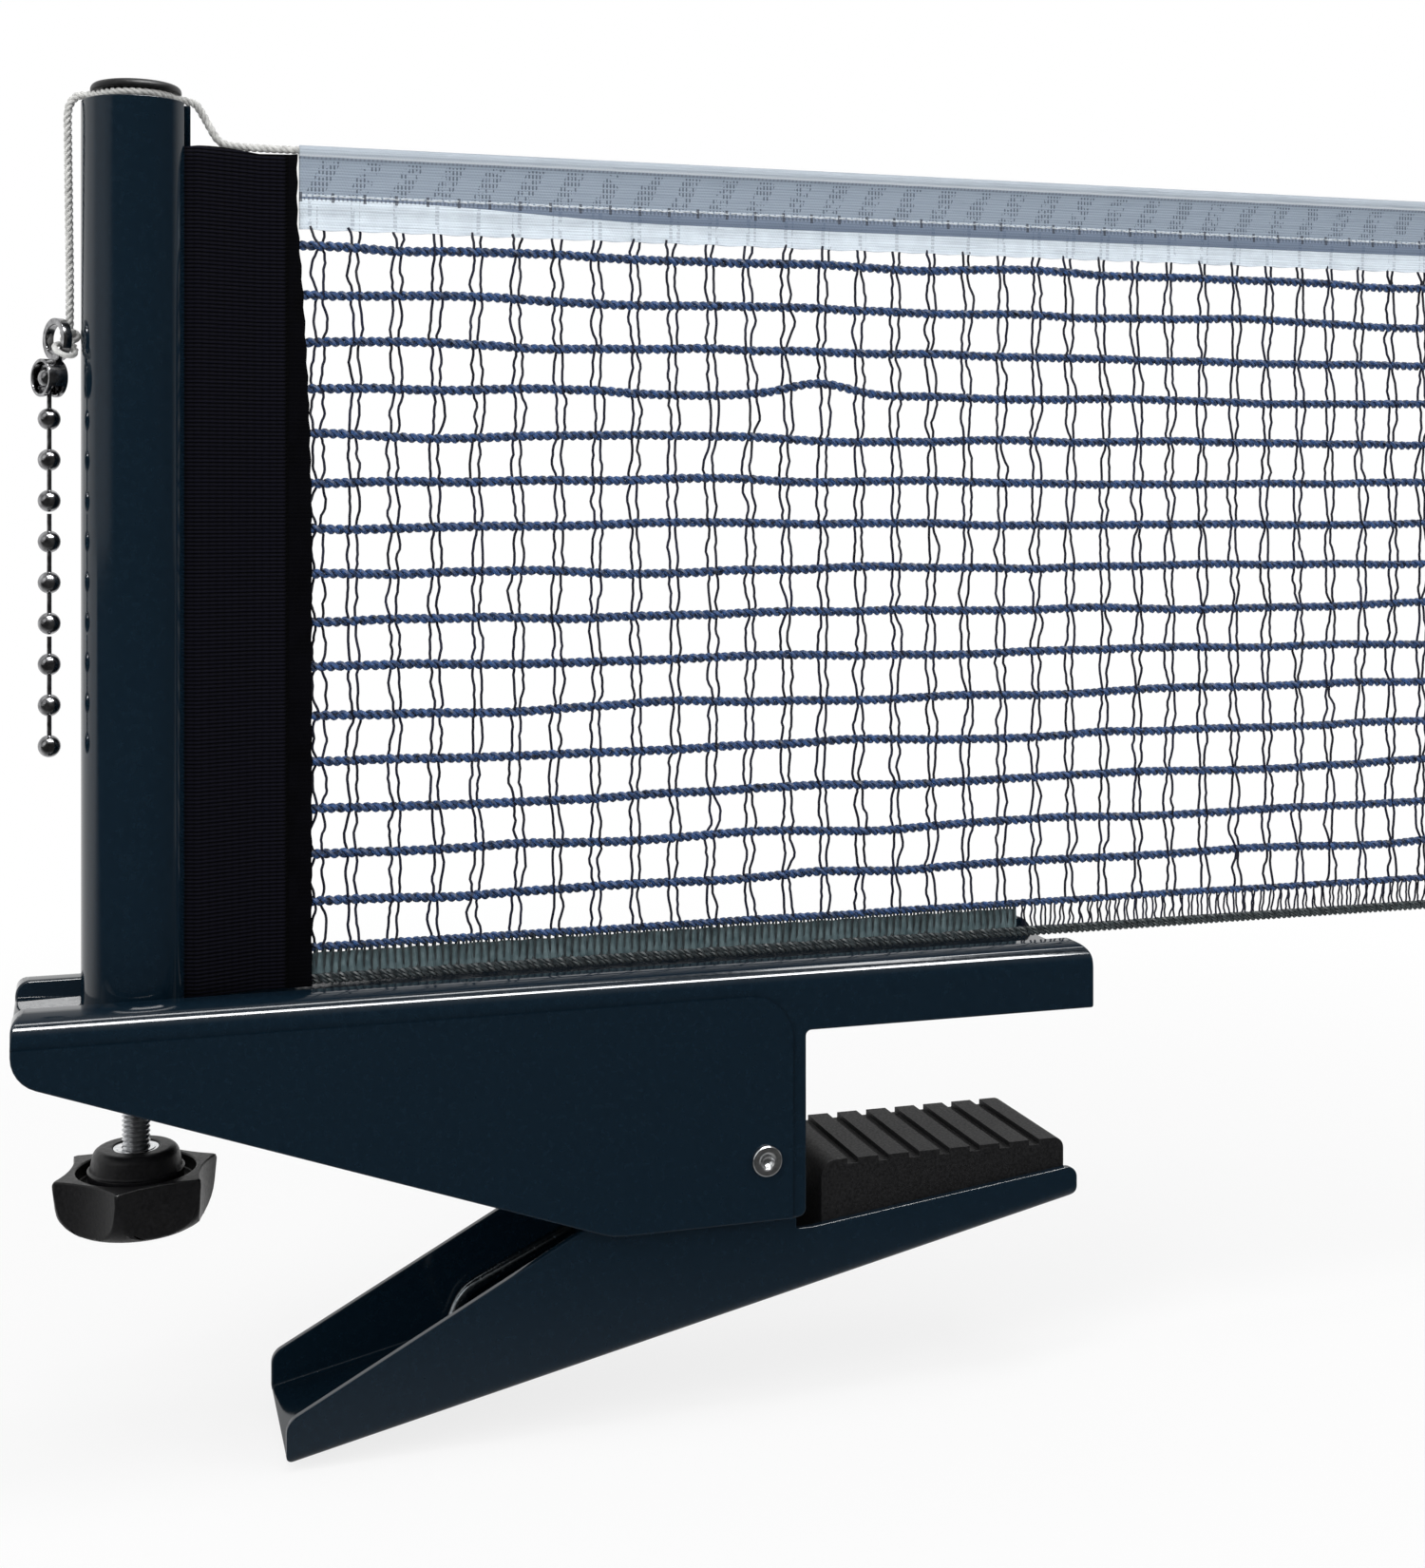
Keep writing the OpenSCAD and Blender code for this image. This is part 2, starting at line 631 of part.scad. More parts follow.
module star_knob() {
    r = knob_d / 2;
    chord = r * sin(180 / knob_lobes);
    sag = scallop - r * (1 - cos(180 / knob_lobes));
    cutter = (chord * chord + sag * sag) / (2 * sag);
    far = r - scallop + cutter;
    color(black) difference() {
        union() {
            intersection() {
                translate([-post_in, 0, knob_low]) linear_extrude(knob_h) difference() {
                    circle(r);
                    for (i = [0 : knob_lobes - 1]) rotate(lobe_turn + (i + 0.5) * 360 / knob_lobes)
                        translate([far, 0]) circle(cutter);
                }
                translate([-post_in, 0, knob_low]) rotate_extrude() polygon(outline([
                    [0, 0, 0], [r - 1.5, 0, 5.5], [r, knob_h - 0.5, 0], [r - 0.5, knob_h, 0],
                    [0, knob_h, 0]]));
            }
            translate([-post_in, 0, rim_z - 2.5]) rotate_extrude() polygon(outline([
                [0, -1, 0], [hub_d / 2 + 1, -1, 0], [hub_d / 2 + 1, 1.5, 1.5],
                [hub_d / 2, hub_h + 2.5, 1.6], [0, hub_h + 2.5, 0]]));
        }
        translate([-post_in, 0, rim_z - 2.5]) difference() {
            cylinder(r = rim_in, h = 5);
            translate([0, 0, -1]) cylinder(r = hub_d / 2 + 1, h = 10);
        }
        on_post(insert_r + 0.6, hub_z - 0.9, hub_z + 1);
        on_post(insert_r, hub_z - 9.5, hub_z);
    }
}

module knob_insert() {
    color(zinc) difference() {
        union() {
            on_post(insert_r, hub_z - 9.5, hub_z - 0.1);
            on_post(insert_r + 0.5, hub_z - 0.9, hub_z - 0.2);
        }
        on_post(screw_d / 2, hub_z - 9, hub_z + 1);
    }
}

// ---- net ----

module net_band() {
    path = [rod_at, on_slit(post_r + 1.5), [band_x - band_w * 0.45, 0], [band_x, 0]];
    tall = band_top - net_bottom;
    color(black) translate([0, 0, net_bottom]) difference() {
        union() {
            translate(rod_at) cylinder(r = rod_d / 2 + rod_wrap, h = tall);
            linear_extrude(tall) polygon(strip(path, band_t));
        }
        translate([rod_at[0], rod_at[1], -1]) cylinder(r = rod_d / 2 + 0.05, h = tall + 2);
    }
}

module band_rod() {
    color(zinc) translate([rod_at[0], rod_at[1], net_bottom - 0.3])
        cylinder(r = rod_d / 2, h = band_top - net_bottom + 0.6);
}

module net_mesh() {
    rows = floor((mesh_high - mesh_low) / mesh_z);
    color("#1c2433") side(cord_w) difference() {
        translate([band_x, mesh_low]) square([net_end - band_x, mesh_high - mesh_low]);
        for (i = [0 : mesh_n - 1], k = [0 : rows - 1])
            translate([band_x + mesh_x * i + cord_w / 2, mesh_low + mesh_z * k])
                square([mesh_x - cord_w, mesh_z - cord_w]);
    }
}

module top_tape() {
    color("#e4e7ea") difference() {
        translate([band_x, -band_t / 2, mesh_high]) cube([net_end - band_x, band_t, tape_h]);
        translate([band_x - 1, -band_t / 2 - 1, mesh_high + tape_h * 0.36])
            cube([net_end - band_x + 2, 1.2, 0.5]);
    }
}

module bottom_hem() {
    color("#3f4c52") translate([band_x, -0.8, net_bottom]) cube([net_end - band_x, 1.6, hem_h]);
}

module far_band() {
    x = net_end + band_w - rod_d / 2 - rod_wrap;
    color(black) difference() {
        union() {
            translate([x, 0, net_bottom]) cylinder(r = rod_d / 2 + rod_wrap, h = band_top - net_bottom);
            translate([net_end, -band_t / 2, net_bottom])
                cube([x - net_end, band_t, band_top - net_bottom]);
        }
        translate([x, 0, net_bottom - 1]) cylinder(r = rod_d / 2 + 0.1, h = band_top);
    }
}

// ---- cord and chain ----

module tension_cord() {
    knot_at = cord_route[len(cord_route) - 4];
    rim = (eye_d + eye_bore) / 4;
    color("#e9e7e2") {
        tube(cord_route, cord_d / 2, 8);
        translate(knot_at) sphere(r = knot_d / 2, $fn = 24);
        translate(eye_c) rotate([0, 0, eye_turn]) rotate([loop_at, 0, 0]) translate([0, -rim, 0])
            rotate_extrude($fn = 24) translate([1.75, 0]) circle(0.5, $fn = 16);
    }
}

module chain_coupling() {
    color(zinc) difference() {
        union() {
            translate(eye_c) coupling_ring(eye_d / 2, 1.6);
            translate(ball_c) coupling_ring(barrel_d / 2, barrel_l);
        }
        translate(eye_c) coupling_ring(eye_bore / 2, 10);
        translate(ball_c) coupling_ring(barrel_d / 2 - 0.55, 10);
        translate(ball_c) rotate([0, 0, eye_turn]) translate([-1, -2.85, -barrel_d])
            cube([2, 5.7, barrel_d]);
    }
}

// A disc on the coupling's own axis
module coupling_ring(r, w) {
    rotate([0, 0, eye_turn]) rotate([0, 90, 0]) cylinder(r = r, h = w, center = true);
}

// Balls first..last on their links; a link reaches up to the ball before it
module chain_run(first, last) {
    color("#6d6f73") for (i = [first : last]) translate(ball_c - [0, 0, i * ball_pitch]) {
        sphere(r = ball_d / 2, $fn = 24);
        if (i > 0) cylinder(r = link_d / 2, h = ball_pitch - (i == first ? ball_d / 2 + 0.3 : 0));
    }
}

module chain_upper() {
    chain_run(0, 3);
}

module chain_middle() {
    chain_run(4, 6);
}

module chain_lower() {
    chain_run(7, 9);
}

arm();
lever();
pivot_rivet();
pivot_sleeve();
pivot_washers();
torsion_spring();
upper_pad();
lower_pad();
post_tube();
post_cap();
post_foot();
foot_pins();
height_nut();
screw_bracket();
adjusting_screw();
thrust_washer();
screw_clip();
star_knob();
knob_insert();
net_band();
band_rod();
net_mesh();
top_tape();
bottom_hem();
far_band();
tension_cord();
chain_coupling();
chain_upper();
chain_middle();
chain_lower();
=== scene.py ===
# %% [markdown]
# # A table tennis net clamp
# The clamp bites the side of a table with a sprung jaw, carries a slit post on a height screw,
# and holds one end of the net. The imported CAD model is loaded as a fixed frame, which says where
# each part is and how it moves. Everything made here is in metres and sits where the CAD says,
# and every piece but the spring's wire rides on one of its moving bodies.

# %% Load the frame
import json
import math

import bmesh
import bpy
from mathutils import Matrix, Vector


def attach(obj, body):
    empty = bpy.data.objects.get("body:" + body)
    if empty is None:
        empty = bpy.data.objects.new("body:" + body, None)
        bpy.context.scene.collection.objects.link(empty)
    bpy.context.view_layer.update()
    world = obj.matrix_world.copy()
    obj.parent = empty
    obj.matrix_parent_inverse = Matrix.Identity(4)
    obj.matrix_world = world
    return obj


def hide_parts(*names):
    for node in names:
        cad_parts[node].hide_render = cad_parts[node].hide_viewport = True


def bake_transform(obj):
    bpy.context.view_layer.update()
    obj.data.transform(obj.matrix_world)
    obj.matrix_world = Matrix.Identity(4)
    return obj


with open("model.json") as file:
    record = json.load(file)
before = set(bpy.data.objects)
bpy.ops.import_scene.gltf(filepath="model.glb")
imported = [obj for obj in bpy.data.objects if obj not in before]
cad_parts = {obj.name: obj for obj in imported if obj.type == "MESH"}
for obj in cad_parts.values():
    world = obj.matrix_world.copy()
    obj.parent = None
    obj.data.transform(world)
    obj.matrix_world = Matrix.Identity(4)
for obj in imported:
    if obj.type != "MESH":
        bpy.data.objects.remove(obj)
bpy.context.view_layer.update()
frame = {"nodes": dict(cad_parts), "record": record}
nodes = frame["nodes"]
scene = bpy.context.scene
MM = 0.001


# %% [markdown]
# ## The camera
# The clamp is seen from a little left of square. A camera that tilts down makes upright edges
# lean together, so the lens stays level here and the picture is shifted down instead. That is
# how a building or a product is taken, and the post stays upright.

# %% Camera
camera_data = bpy.data.cameras.new("camera")
camera_data.sensor_fit = "HORIZONTAL"
camera_data.sensor_width = 36
camera_data.lens = 51.6
camera_data.shift_y = -0.1967
camera_data.clip_start = 0.01
camera = bpy.data.objects.new("camera", camera_data)
camera.location = (-0.1239, -0.3646, 0.095)
camera.rotation_euler = (math.radians(90), 0, math.radians(-17))
scene.collection.objects.link(camera)
scene.camera = camera
print("camera at", tuple(camera.location))

# %% [markdown]
# ## A short way to write node trees
# Shaders and Geometry Nodes are both trees of nodes. They could be drawn by hand in the editor,
# but a tree written in code can be read and changed like any other recipe. This helper adds a
# node, sets its plain values and links its sockets in one call.


# %% Node tree helper
class Graph:
    """Adds nodes to a tree. A fed value that is a socket is linked, any other is set."""

    def __init__(self, tree):
        self.tree = tree

    def node(self, kind, feeds=None, **settings):
        made = self.tree.nodes.new(kind)
        for key, value in settings.items():
            setattr(made, key, value)
        for key, value in (feeds or {}).items():
            if isinstance(value, bpy.types.NodeSocket):
                self.tree.links.new(value, made.inputs[key])
            else:
                made.inputs[key].default_value = value
        return made

    def math(self, operation, a, b=0.0, c=0.0):
        return self.node("ShaderNodeMath", {0: a, 1: b, 2: c}, operation=operation).outputs[0]

    def vector(self, x, y, z):
        return self.node("ShaderNodeCombineXYZ", {0: x, 1: y, 2: z}).outputs[0]

    def split(self, vector):
        return self.node("ShaderNodeSeparateXYZ", {0: vector}).outputs

    def between(self, value, low, high):
        """1 inside low..high and 0 outside."""
        above = self.math("GREATER_THAN", value, low)
        return self.math("MULTIPLY", above, self.math("LESS_THAN", value, high))

    def apart(self, a, b):
        """How far two values are from each other."""
        return self.math("ABSOLUTE", self.math("SUBTRACT", a, b))

    def wave(self, value, period):
        """A sine that repeats every `period`."""
        return self.math("SINE", self.math("DIVIDE", value, period / 2 / math.pi))

    def humps(self, value):
        """0 at every whole number and 1 half-way between."""
        return self.math("ABSOLUTE", self.math("SINE", self.math("MULTIPLY", value, math.pi)))

    def fade(self, value, low, high, start, end):
        """A soft step from start to end as the value goes from low to high."""
        return self.node("ShaderNodeMapRange", {"Value": value, "From Min": low,
                                                "From Max": high, "To Min": start,
                                                "To Max": end},
                         interpolation_type="SMOOTHSTEP").outputs["Result"]

    def noise(self, place, scale, detail):
        return self.node("ShaderNodeTexNoise", {"Vector": place, "Scale": scale,
                                                "Detail": detail}).outputs["Fac"]

    def streaks(self, x, z, x_scale, z_scale, seat=0.0, detail=1.5):
        """Noise drawn out along x or z. Another seat gives another pattern."""
        place = self.vector(self.math("MULTIPLY", x, x_scale), seat,
                            self.math("MULTIPLY", z, z_scale))
        return self.noise(place, 1.0, detail)

    def joined(self, parts):
        whole = self.node("GeometryNodeJoinGeometry")
        for part in parts:
            self.tree.links.new(part, whole.inputs[0])
        return whole.outputs[0]


# %% [markdown]
# ## Finishes
# No real surface has one flat colour. Pictures of surfaces could be wrapped round the parts, but
# a recipe of nodes needs no file and stays sharp at any size. So every finish starts from the
# same base: a colour that drifts a little with fine noise, a roughness that drifts with it, and
# a shallow bump. Each material then adds what makes it itself.


# %% Base of every finish
PATCHES = 0.3, 0.7  # the stretch of the noise over which a finish runs from dark to light


def finish(name, dark, light, rough, grain, bump, **sockets):
    """A material whose colour runs from dark to light with noise of size `grain` (metres)."""
    material = bpy.data.materials.new(name)
    material.use_nodes = True
    graph = Graph(material.node_tree)
    shader = material.node_tree.nodes["Principled BSDF"]
    place = graph.node("ShaderNodeTexCoord").outputs["Object"]
    speckle = graph.noise(place, 1 / grain, 3.0)
    ramp = graph.node("ShaderNodeValToRGB", {0: speckle})
    for element, position, colour in zip(ramp.color_ramp.elements, PATCHES, (dark, light)):
        element.position = position
        element.color = (*colour, 1)
    wear = graph.node("ShaderNodeMapRange", {"Value": speckle, "From Min": PATCHES[0],
                                             "From Max": PATCHES[1], "To Min": rough[0],
                                             "To Max": rough[1]})
    relief = graph.node("ShaderNodeBump", {"Height": speckle, "Strength": 1.0,
                                           "Distance": bump})
    links = material.node_tree.links
    links.new(ramp.outputs["Color"], shader.inputs["Base Color"])
    links.new(wear.outputs["Result"], shader.inputs["Roughness"])
    links.new(relief.outputs["Normal"], shader.inputs["Normal"])
    for key, value in sockets.items():
        shader.inputs[key.replace("_", " ")].default_value = value
    material.diffuse_color = (*light, 1)
    return material, graph, shader, place


def repaint(graph, shader, mask, colour):
    """Lays a second colour over the base colour where mask is 1."""
    base = shader.inputs["Base Color"].links[0].from_socket
    mix = graph.node("ShaderNodeMix", {0: mask, 6: base, 7: (*colour, 1)}, data_type="RGBA")
    graph.tree.links.new(mix.outputs[2], shader.inputs["Base Color"])


def emboss(graph, shader, height, depth):
    """Adds one more height, `depth` metres deep, on top of the base bump."""
    base = shader.inputs["Normal"].links[0].from_socket
    relief = graph.node("ShaderNodeBump", {"Height": height, "Strength": 1.0,
                                           "Distance": depth, "Normal": base})
    graph.tree.links.new(relief.outputs["Normal"], shader.inputs["Normal"])


# %% [markdown]
# ## Enamel, metals and plastics
# The clamp's pressed steel is coated in a blue black enamel that is almost a mirror, its small
# parts are plated, and the knob, cap and pads are moulded. Each coat could be its own layer of
# shader, but it shows only in how it shines: enamel is dark and very smooth, a plating is full
# metal with a little roughness, and rubber is the roughest of these.

# %% Enamel, metals, plastics
enamel, *_ = finish("blue black enamel", (0.003, 0.0095, 0.0172), (0.0042, 0.012, 0.0208),
                    rough=(0.07, 0.11), grain=0.0012, bump=0.0000015, Specular_IOR_Level=0.42)
zinc, *_ = finish("zinc plate", (0.46, 0.47, 0.48), (0.66, 0.67, 0.69),
                  rough=(0.28, 0.42), grain=0.0007, bump=0.000008, Metallic=1.0)
nickel, *_ = finish("bright nickel", (0.6, 0.61, 0.62), (0.82, 0.83, 0.84),
                    rough=(0.12, 0.22), grain=0.0009, bump=0.000005, Metallic=1.0)
dark_nickel, *_ = finish("dark nickel", (0.13, 0.13, 0.135), (0.4, 0.4, 0.41),
                         rough=(0.1, 0.2), grain=0.0012, bump=0.000006, Metallic=1.0)
spring_steel, *_ = finish("spring steel", (0.2, 0.23, 0.25), (0.4, 0.43, 0.45),
                          rough=(0.16, 0.28), grain=0.0008, bump=0.000006, Metallic=1.0)
plastic, *_ = finish("moulded plastic", (0.0035, 0.0035, 0.004), (0.007, 0.007, 0.008),
                     rough=(0.34, 0.46), grain=0.0006, bump=0.00003, Specular_IOR_Level=0.3)
rubber, *_ = finish("pad rubber", (0.004, 0.004, 0.0045), (0.009, 0.009, 0.01),
                    rough=(0.5, 0.7), grain=0.0005, bump=0.00004, Specular_IOR_Level=0.22)
print("hard finishes:", [m.name for m in (enamel, zinc, nickel, dark_nickel, spring_steel,
                                          plastic, rubber)])

# %% [markdown]
# ## Woven cloth
# The bands are woven from thousands of threads. Modelled one by one they would make a heavy mesh
# for something the eye reads as fine rows, so the weave is a pattern of dashes on the height and
# the length, in the colour and in the bump. In the colour the raised dashes are painted lighter,
# as a painted highlight. The strip between the rim and the sewn line is turned over and shows
# its rows only faintly.

# %% Band cloth
WEAVE_ROW, WEAVE_DASH, SEAM_HALF = 0.68 * MM, 1.3 * MM, 0.3 * MM
NEAR_EDGE = -86.3


def ribs(graph, across, along, pitch, dash, shift=0.0):
    """Rows `pitch` apart, broken into dashes, each row moved on by `shift` of a dash."""
    row = graph.math("DIVIDE", across, pitch)
    moved = graph.math("MULTIPLY", graph.math("FLOOR", row), shift)
    cell = graph.math("ADD", graph.math("DIVIDE", along, dash), moved)
    knots = graph.math("MULTIPLY_ADD", graph.humps(cell), 0.35, 0.65)
    return graph.math("MULTIPLY", graph.humps(row), knots)


def woven_band(name, edge, seam):
    """Black band cloth. `edge` and `seam` are the lengthwise places of its rim and sewn line."""
    material, g, s, place = finish(name, (0.0007, 0.0007, 0.0013), (0.0016, 0.0016, 0.0027),
                                   rough=(0.75, 0.9), grain=0.004, bump=0.00002,
                                   Specular_IOR_Level=0.02, Sheen_Weight=0.015,
                                   Sheen_Roughness=0.5)
    x, y, z = g.split(place)
    weave = ribs(g, z, x, WEAVE_ROW, WEAVE_DASH)
    rim = g.between(x, min(edge, seam) * MM, max(edge, seam) * MM)
    open_part = g.math("SUBTRACT", 1.0, rim)
    # Painted highlight: the raised dashes of the weave are painted lighter, where they would catch
    # the light.
    raised = g.math("MULTIPLY", g.math("GREATER_THAN", weave, 0.6), open_part)
    repaint(g, s, g.math("MULTIPLY", raised, 0.8), (0.0065, 0.0065, 0.0122))
    on_seam = g.math("LESS_THAN", g.apart(x, seam * MM), SEAM_HALF)
    repaint(g, s, on_seam, (0.0008, 0.0008, 0.0012))
    depth = g.math("MULTIPLY_ADD", open_part, 0.8, 0.2)
    emboss(g, s, g.math("MULTIPLY", weave, depth), 0.00022)
    return material


band_cloth = woven_band("woven black band", edge=NEAR_EDGE, seam=-90.6)
far_band_cloth = woven_band("woven black far band", edge=146.0, seam=150.3)
print("woven bands:", band_cloth.name, "and", far_band_cloth.name)

# %% [markdown]
# ## Yarns and fleece
# The cords and threads are real geometry further on, so their finishes need the fuzz and the
# uneven dye of yarn. On the navy cord the light blue patches also stand in for the bright
# undersides of its strands, as painted highlights. The hem is backed by a thin fleece whose
# stitches are too close to be modelled, so they are stripes in its finish, leaning a little as
# knitted stitches do, with the dark side of each stripe as painted shade.

# %% Yarns
# Painted highlights: the light blue end of this ramp stands in for the bright undersides of the
# strands, spread by noise.
navy_cord_painted_highlights, *_ = finish("navy level cord with painted highlights", (0.0015, 0.004, 0.011), (0.022, 0.08, 0.24),
                       rough=(0.5, 0.7), grain=0.0009, bump=0.00005,
                       Specular_IOR_Level=0.4, Sheen_Weight=0.1)
thread_navy, *_ = finish("navy net thread", (0.0015, 0.0022, 0.007), (0.005, 0.008, 0.032),
                         rough=(0.5, 0.7), grain=0.009, bump=0.00002, Specular_IOR_Level=0.3)
hem_yarn, *_ = finish("hem yarn", (0.009, 0.014, 0.017), (0.035, 0.05, 0.055),
                      rough=(0.5, 0.7), grain=0.0012, bump=0.00004, Sheen_Weight=0.1)
cord_yarn, *_ = finish("twisted white cord", (0.4, 0.4, 0.39), (0.68, 0.68, 0.66),
                       rough=(0.6, 0.8), grain=0.0012, bump=0.00004, Sheen_Weight=0.15)
seam_thread, *_ = finish("seam thread", (0.4, 0.44, 0.48), (0.6, 0.64, 0.68),
                         rough=(0.5, 0.7), grain=0.001, bump=0.00002)
print("yarns:", [m.name for m in (navy_cord_painted_highlights, thread_navy, hem_yarn, cord_yarn, seam_thread)])

# %% Hem fleece
FLEECE_STITCH, STITCH_LEAN = 1.4 * MM, 0.15
hem_film, g, s, place = finish("hem fleece", (0.08, 0.125, 0.138), (0.17, 0.235, 0.25),
                               rough=(0.6, 0.8), grain=0.0016, bump=0.00005,
                               Specular_IOR_Level=0.2)
x, y, z = g.split(place)
stitch = g.wave(g.math("MULTIPLY_ADD", z, STITCH_LEAN, x), FLEECE_STITCH)
# Painted shade: one side of each stitch stripe is painted darker, as the shaded side of the ridge.
painted_stitch_shade = g.math("MULTIPLY", g.math("GREATER_THAN", stitch, 0.35), 0.45)
repaint(g, s, painted_stitch_shade, (0.02, 0.034, 0.04))
emboss(g, s, stitch, 0.0001)
print("fleece stitches every", round(FLEECE_STITCH / MM, 2), "mm")

# %% [markdown]
# ## The white tape's finish
# The white tape is folded over the net's top edge. It hangs in five zones: a doubled strip along
# the very top, a thin part where the net's thread pairs show through as slanted grey dashes, the
# sewn line, a shaded fold, and a single bright hem. The zones could be separate strips of mesh,
# but on the real tape they are one cloth, so each is a step on the height in one finish.

# %% Tape zones
TAPE_FOLD, TAPE_SEAM, TAPE_STRIP, TAPE_TOP = 146.6, 149.0, 155.9, 158.0
COLUMN_PITCH, FIRST_COLUMN = 7.38, -79.0
tape_cloth, g, s, place = finish("white tape", (0.62, 0.69, 0.76), (0.7, 0.78, 0.85),
                                 rough=(0.5, 0.68), grain=0.003, bump=0.00003,
                                 Specular_IOR_Level=0.2)
x, y, z = g.split(place)
# Near the band the shaded fold narrows to a thin line.
fold_from = g.fade(x, -0.075, -0.02, 148.5 * MM, TAPE_FOLD * MM)
ZONES = [(fold_from, TAPE_SEAM * MM, (0.16, 0.205, 0.28)),
         (TAPE_SEAM * MM, TAPE_STRIP * MM, (0.265, 0.318, 0.385)),
         (TAPE_STRIP * MM, (TAPE_TOP + 1) * MM, (0.38, 0.43, 0.485))]
for low, high, colour in ZONES:
    repaint(g, s, g.between(z, low, high), colour)
weft = g.math("GREATER_THAN", g.streaks(x, z, 60.0, 2600.0, detail=1.0), 0.56)
repaint(g, s, g.math("MULTIPLY", weft, 0.13), (0.1, 0.13, 0.18))
print("tape zones from", TAPE_FOLD, "to", TAPE_TOP, "mm")

# %% [markdown]
# ## Thread pairs seen through the tape
# Behind the thin cloth the net's thread pairs show as groups of short grey ticks. Cloth that
# lets light through could show real threads inside it, but it would be slow to render and hard
# to steer. So the ticks are painted: one wave cuts a group into rows, another into columns, and
# noise wears some of them away.

# %% Thread pairs seen through the tape
def shadow_pairs(low, high, lean, start, half_width, tick, row_pitch, threshold):
    """Upright ticks where thread pairs lie under the tape, in groups that lean to the height."""
    along = g.math("SUBTRACT", x, g.math("MULTIPLY", g.math("SUBTRACT", z, low * MM), lean))
    cell = g.math("DIVIDE", g.math("SUBTRACT", along, start * MM), COLUMN_PITCH * MM)
    middle = g.apart(g.math("FRACT", g.math("ADD", cell, 0.5)), 0.5)
    group = g.math("LESS_THAN", middle, half_width / COLUMN_PITCH)
    column = g.math("GREATER_THAN", g.wave(x, tick * MM), 0.1)
    row = g.math("GREATER_THAN", g.wave(z, row_pitch * MM), -0.65)
    worn = g.math("GREATER_THAN", g.noise(place, 900.0, 1.0), threshold)
    dash = g.math("MULTIPLY", g.math("MULTIPLY", row, column), worn)
    return g.math("MULTIPLY", g.between(z, low * MM, high * MM), g.math("MULTIPLY", group, dash))


upper_marks = shadow_pairs(low=149.4, high=155.3, lean=0.5, start=FIRST_COLUMN + 0.6,
                           half_width=1.65, tick=0.66, row_pitch=1.0, threshold=0.43)
repaint(g, s, g.math("MULTIPLY", upper_marks, 0.72), (0.045, 0.058, 0.085))
lower_marks = shadow_pairs(low=143.0, high=149.0, lean=0.0, start=FIRST_COLUMN + 0.1,
                           half_width=1.05, tick=1.5, row_pitch=0.7, threshold=0.4)
repaint(g, s, g.math("MULTIPLY", lower_marks, 0.3), (0.05, 0.08, 0.15))
print("thread pairs show every", COLUMN_PITCH, "mm")

# %% [markdown]
# ## The tape's sewn lines
# Sewing thread holds the fold and the doubled strip. On top of the cloth it shows light, and
# beside it the cloth dips, and the shade in that dip is painted dark. Stitches this fine could be
# modelled one by one, as the raised ones are further on, but most are only a change of shade.
# So each line is a narrow band of height, cut into stitches by a wave along the tape.

# %% The sewn lines of the tape
# Each line: low, high and stitch period in mm, the height at which its wave becomes a stitch,
# the paint that a stitch adds, the paint on the whole line, and the colour.
# The light lines are thread; the dark lines are painted shade where the cloth dips beside it.
SEWN_LINES = [(148.95, 149.35, 1.1, -0.45, 1.0, 0.0, (0.55, 0.6, 0.66)),
              (148.3, 148.95, 0.75, 0.25, 0.55, 0.0, (0.045, 0.055, 0.08)),
              (148.0, 149.7, 5.6, 0.955, 0.8, 0.0, (0.03, 0.035, 0.05)),
              (156.0, 156.3, 0.75, 0.25, 0.0, 1.0, (0.56, 0.6, 0.65)),
              (155.55, 155.95, 0.75, 0.25, 0.35, 0.25, (0.1, 0.12, 0.16))]
for low, high, period, crest, stitch_paint, line_paint, colour in SEWN_LINES:
    stitches = g.math("GREATER_THAN", g.wave(x, period * MM), crest)
    painted = g.math("MULTIPLY_ADD", stitches, stitch_paint, line_paint)
    repaint(g, s, g.math("MULTIPLY", g.between(z, low * MM, high * MM), painted), colour)
emboss(g, s, ribs(g, z, x, 0.5 * MM, 0.5 * MM, 0.5), 0.00005)
print(len(SEWN_LINES), "sewn lines on the tape")

# %% [markdown]
# ## Helpers for meshes
# Each visible piece is told which body carries it, which finish it takes and which CAD solid it
# stands for. That is the same for every piece, so it is written once here.

# %% Mesh helpers
BODY_OF = {n: b for b, names in frame["record"]["behaviour"]["bodies"].items() for n in names}


def link(name, mesh, material):
    obj = bpy.data.objects.new(name, mesh)
    scene.collection.objects.link(obj)
    mesh.materials.clear()
    mesh.materials.append(material)
    return obj


def smooth(mesh, degrees):
    """Shades a mesh smooth, but keeps each edge sharp that turns by more than this."""
    mesh.shade_smooth()
    mesh.set_sharp_from_angle(angle=math.radians(degrees))


def piece(name, shape, material, degrees):
    """An object from a shape, which is points in millimetres and faces."""
    points, faces = shape
    mesh = bpy.data.meshes.new(name)
    mesh.from_pydata([Vector(p) * MM for p in points], [], faces)
    work = bmesh.new()
    work.from_mesh(mesh)
    bmesh.ops.remove_doubles(work, verts=work.verts, dist=1e-7)
    bmesh.ops.recalc_face_normals(work, faces=work.faces)
    work.to_mesh(mesh)
    work.free()
    smooth(mesh, degrees)
    return link(name, mesh, material)


def stand_for(obj, node):
    """Shows a piece instead of a CAD node, whose own solid is hidden."""
    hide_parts(node)
    print(f"{obj.name}: {len(obj.data.polygons)} faces for {node}")
    return obj


def place_piece(obj, node):
    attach(obj, BODY_OF[node])
    return stand_for(obj, node)


def bake(obj):
    """Turns what the modifiers make into the object's own mesh."""
    seen = bpy.context.evaluated_depsgraph_get()
    obj.data = bpy.data.meshes.new_from_object(obj.evaluated_get(seen))
    obj.modifiers.clear()


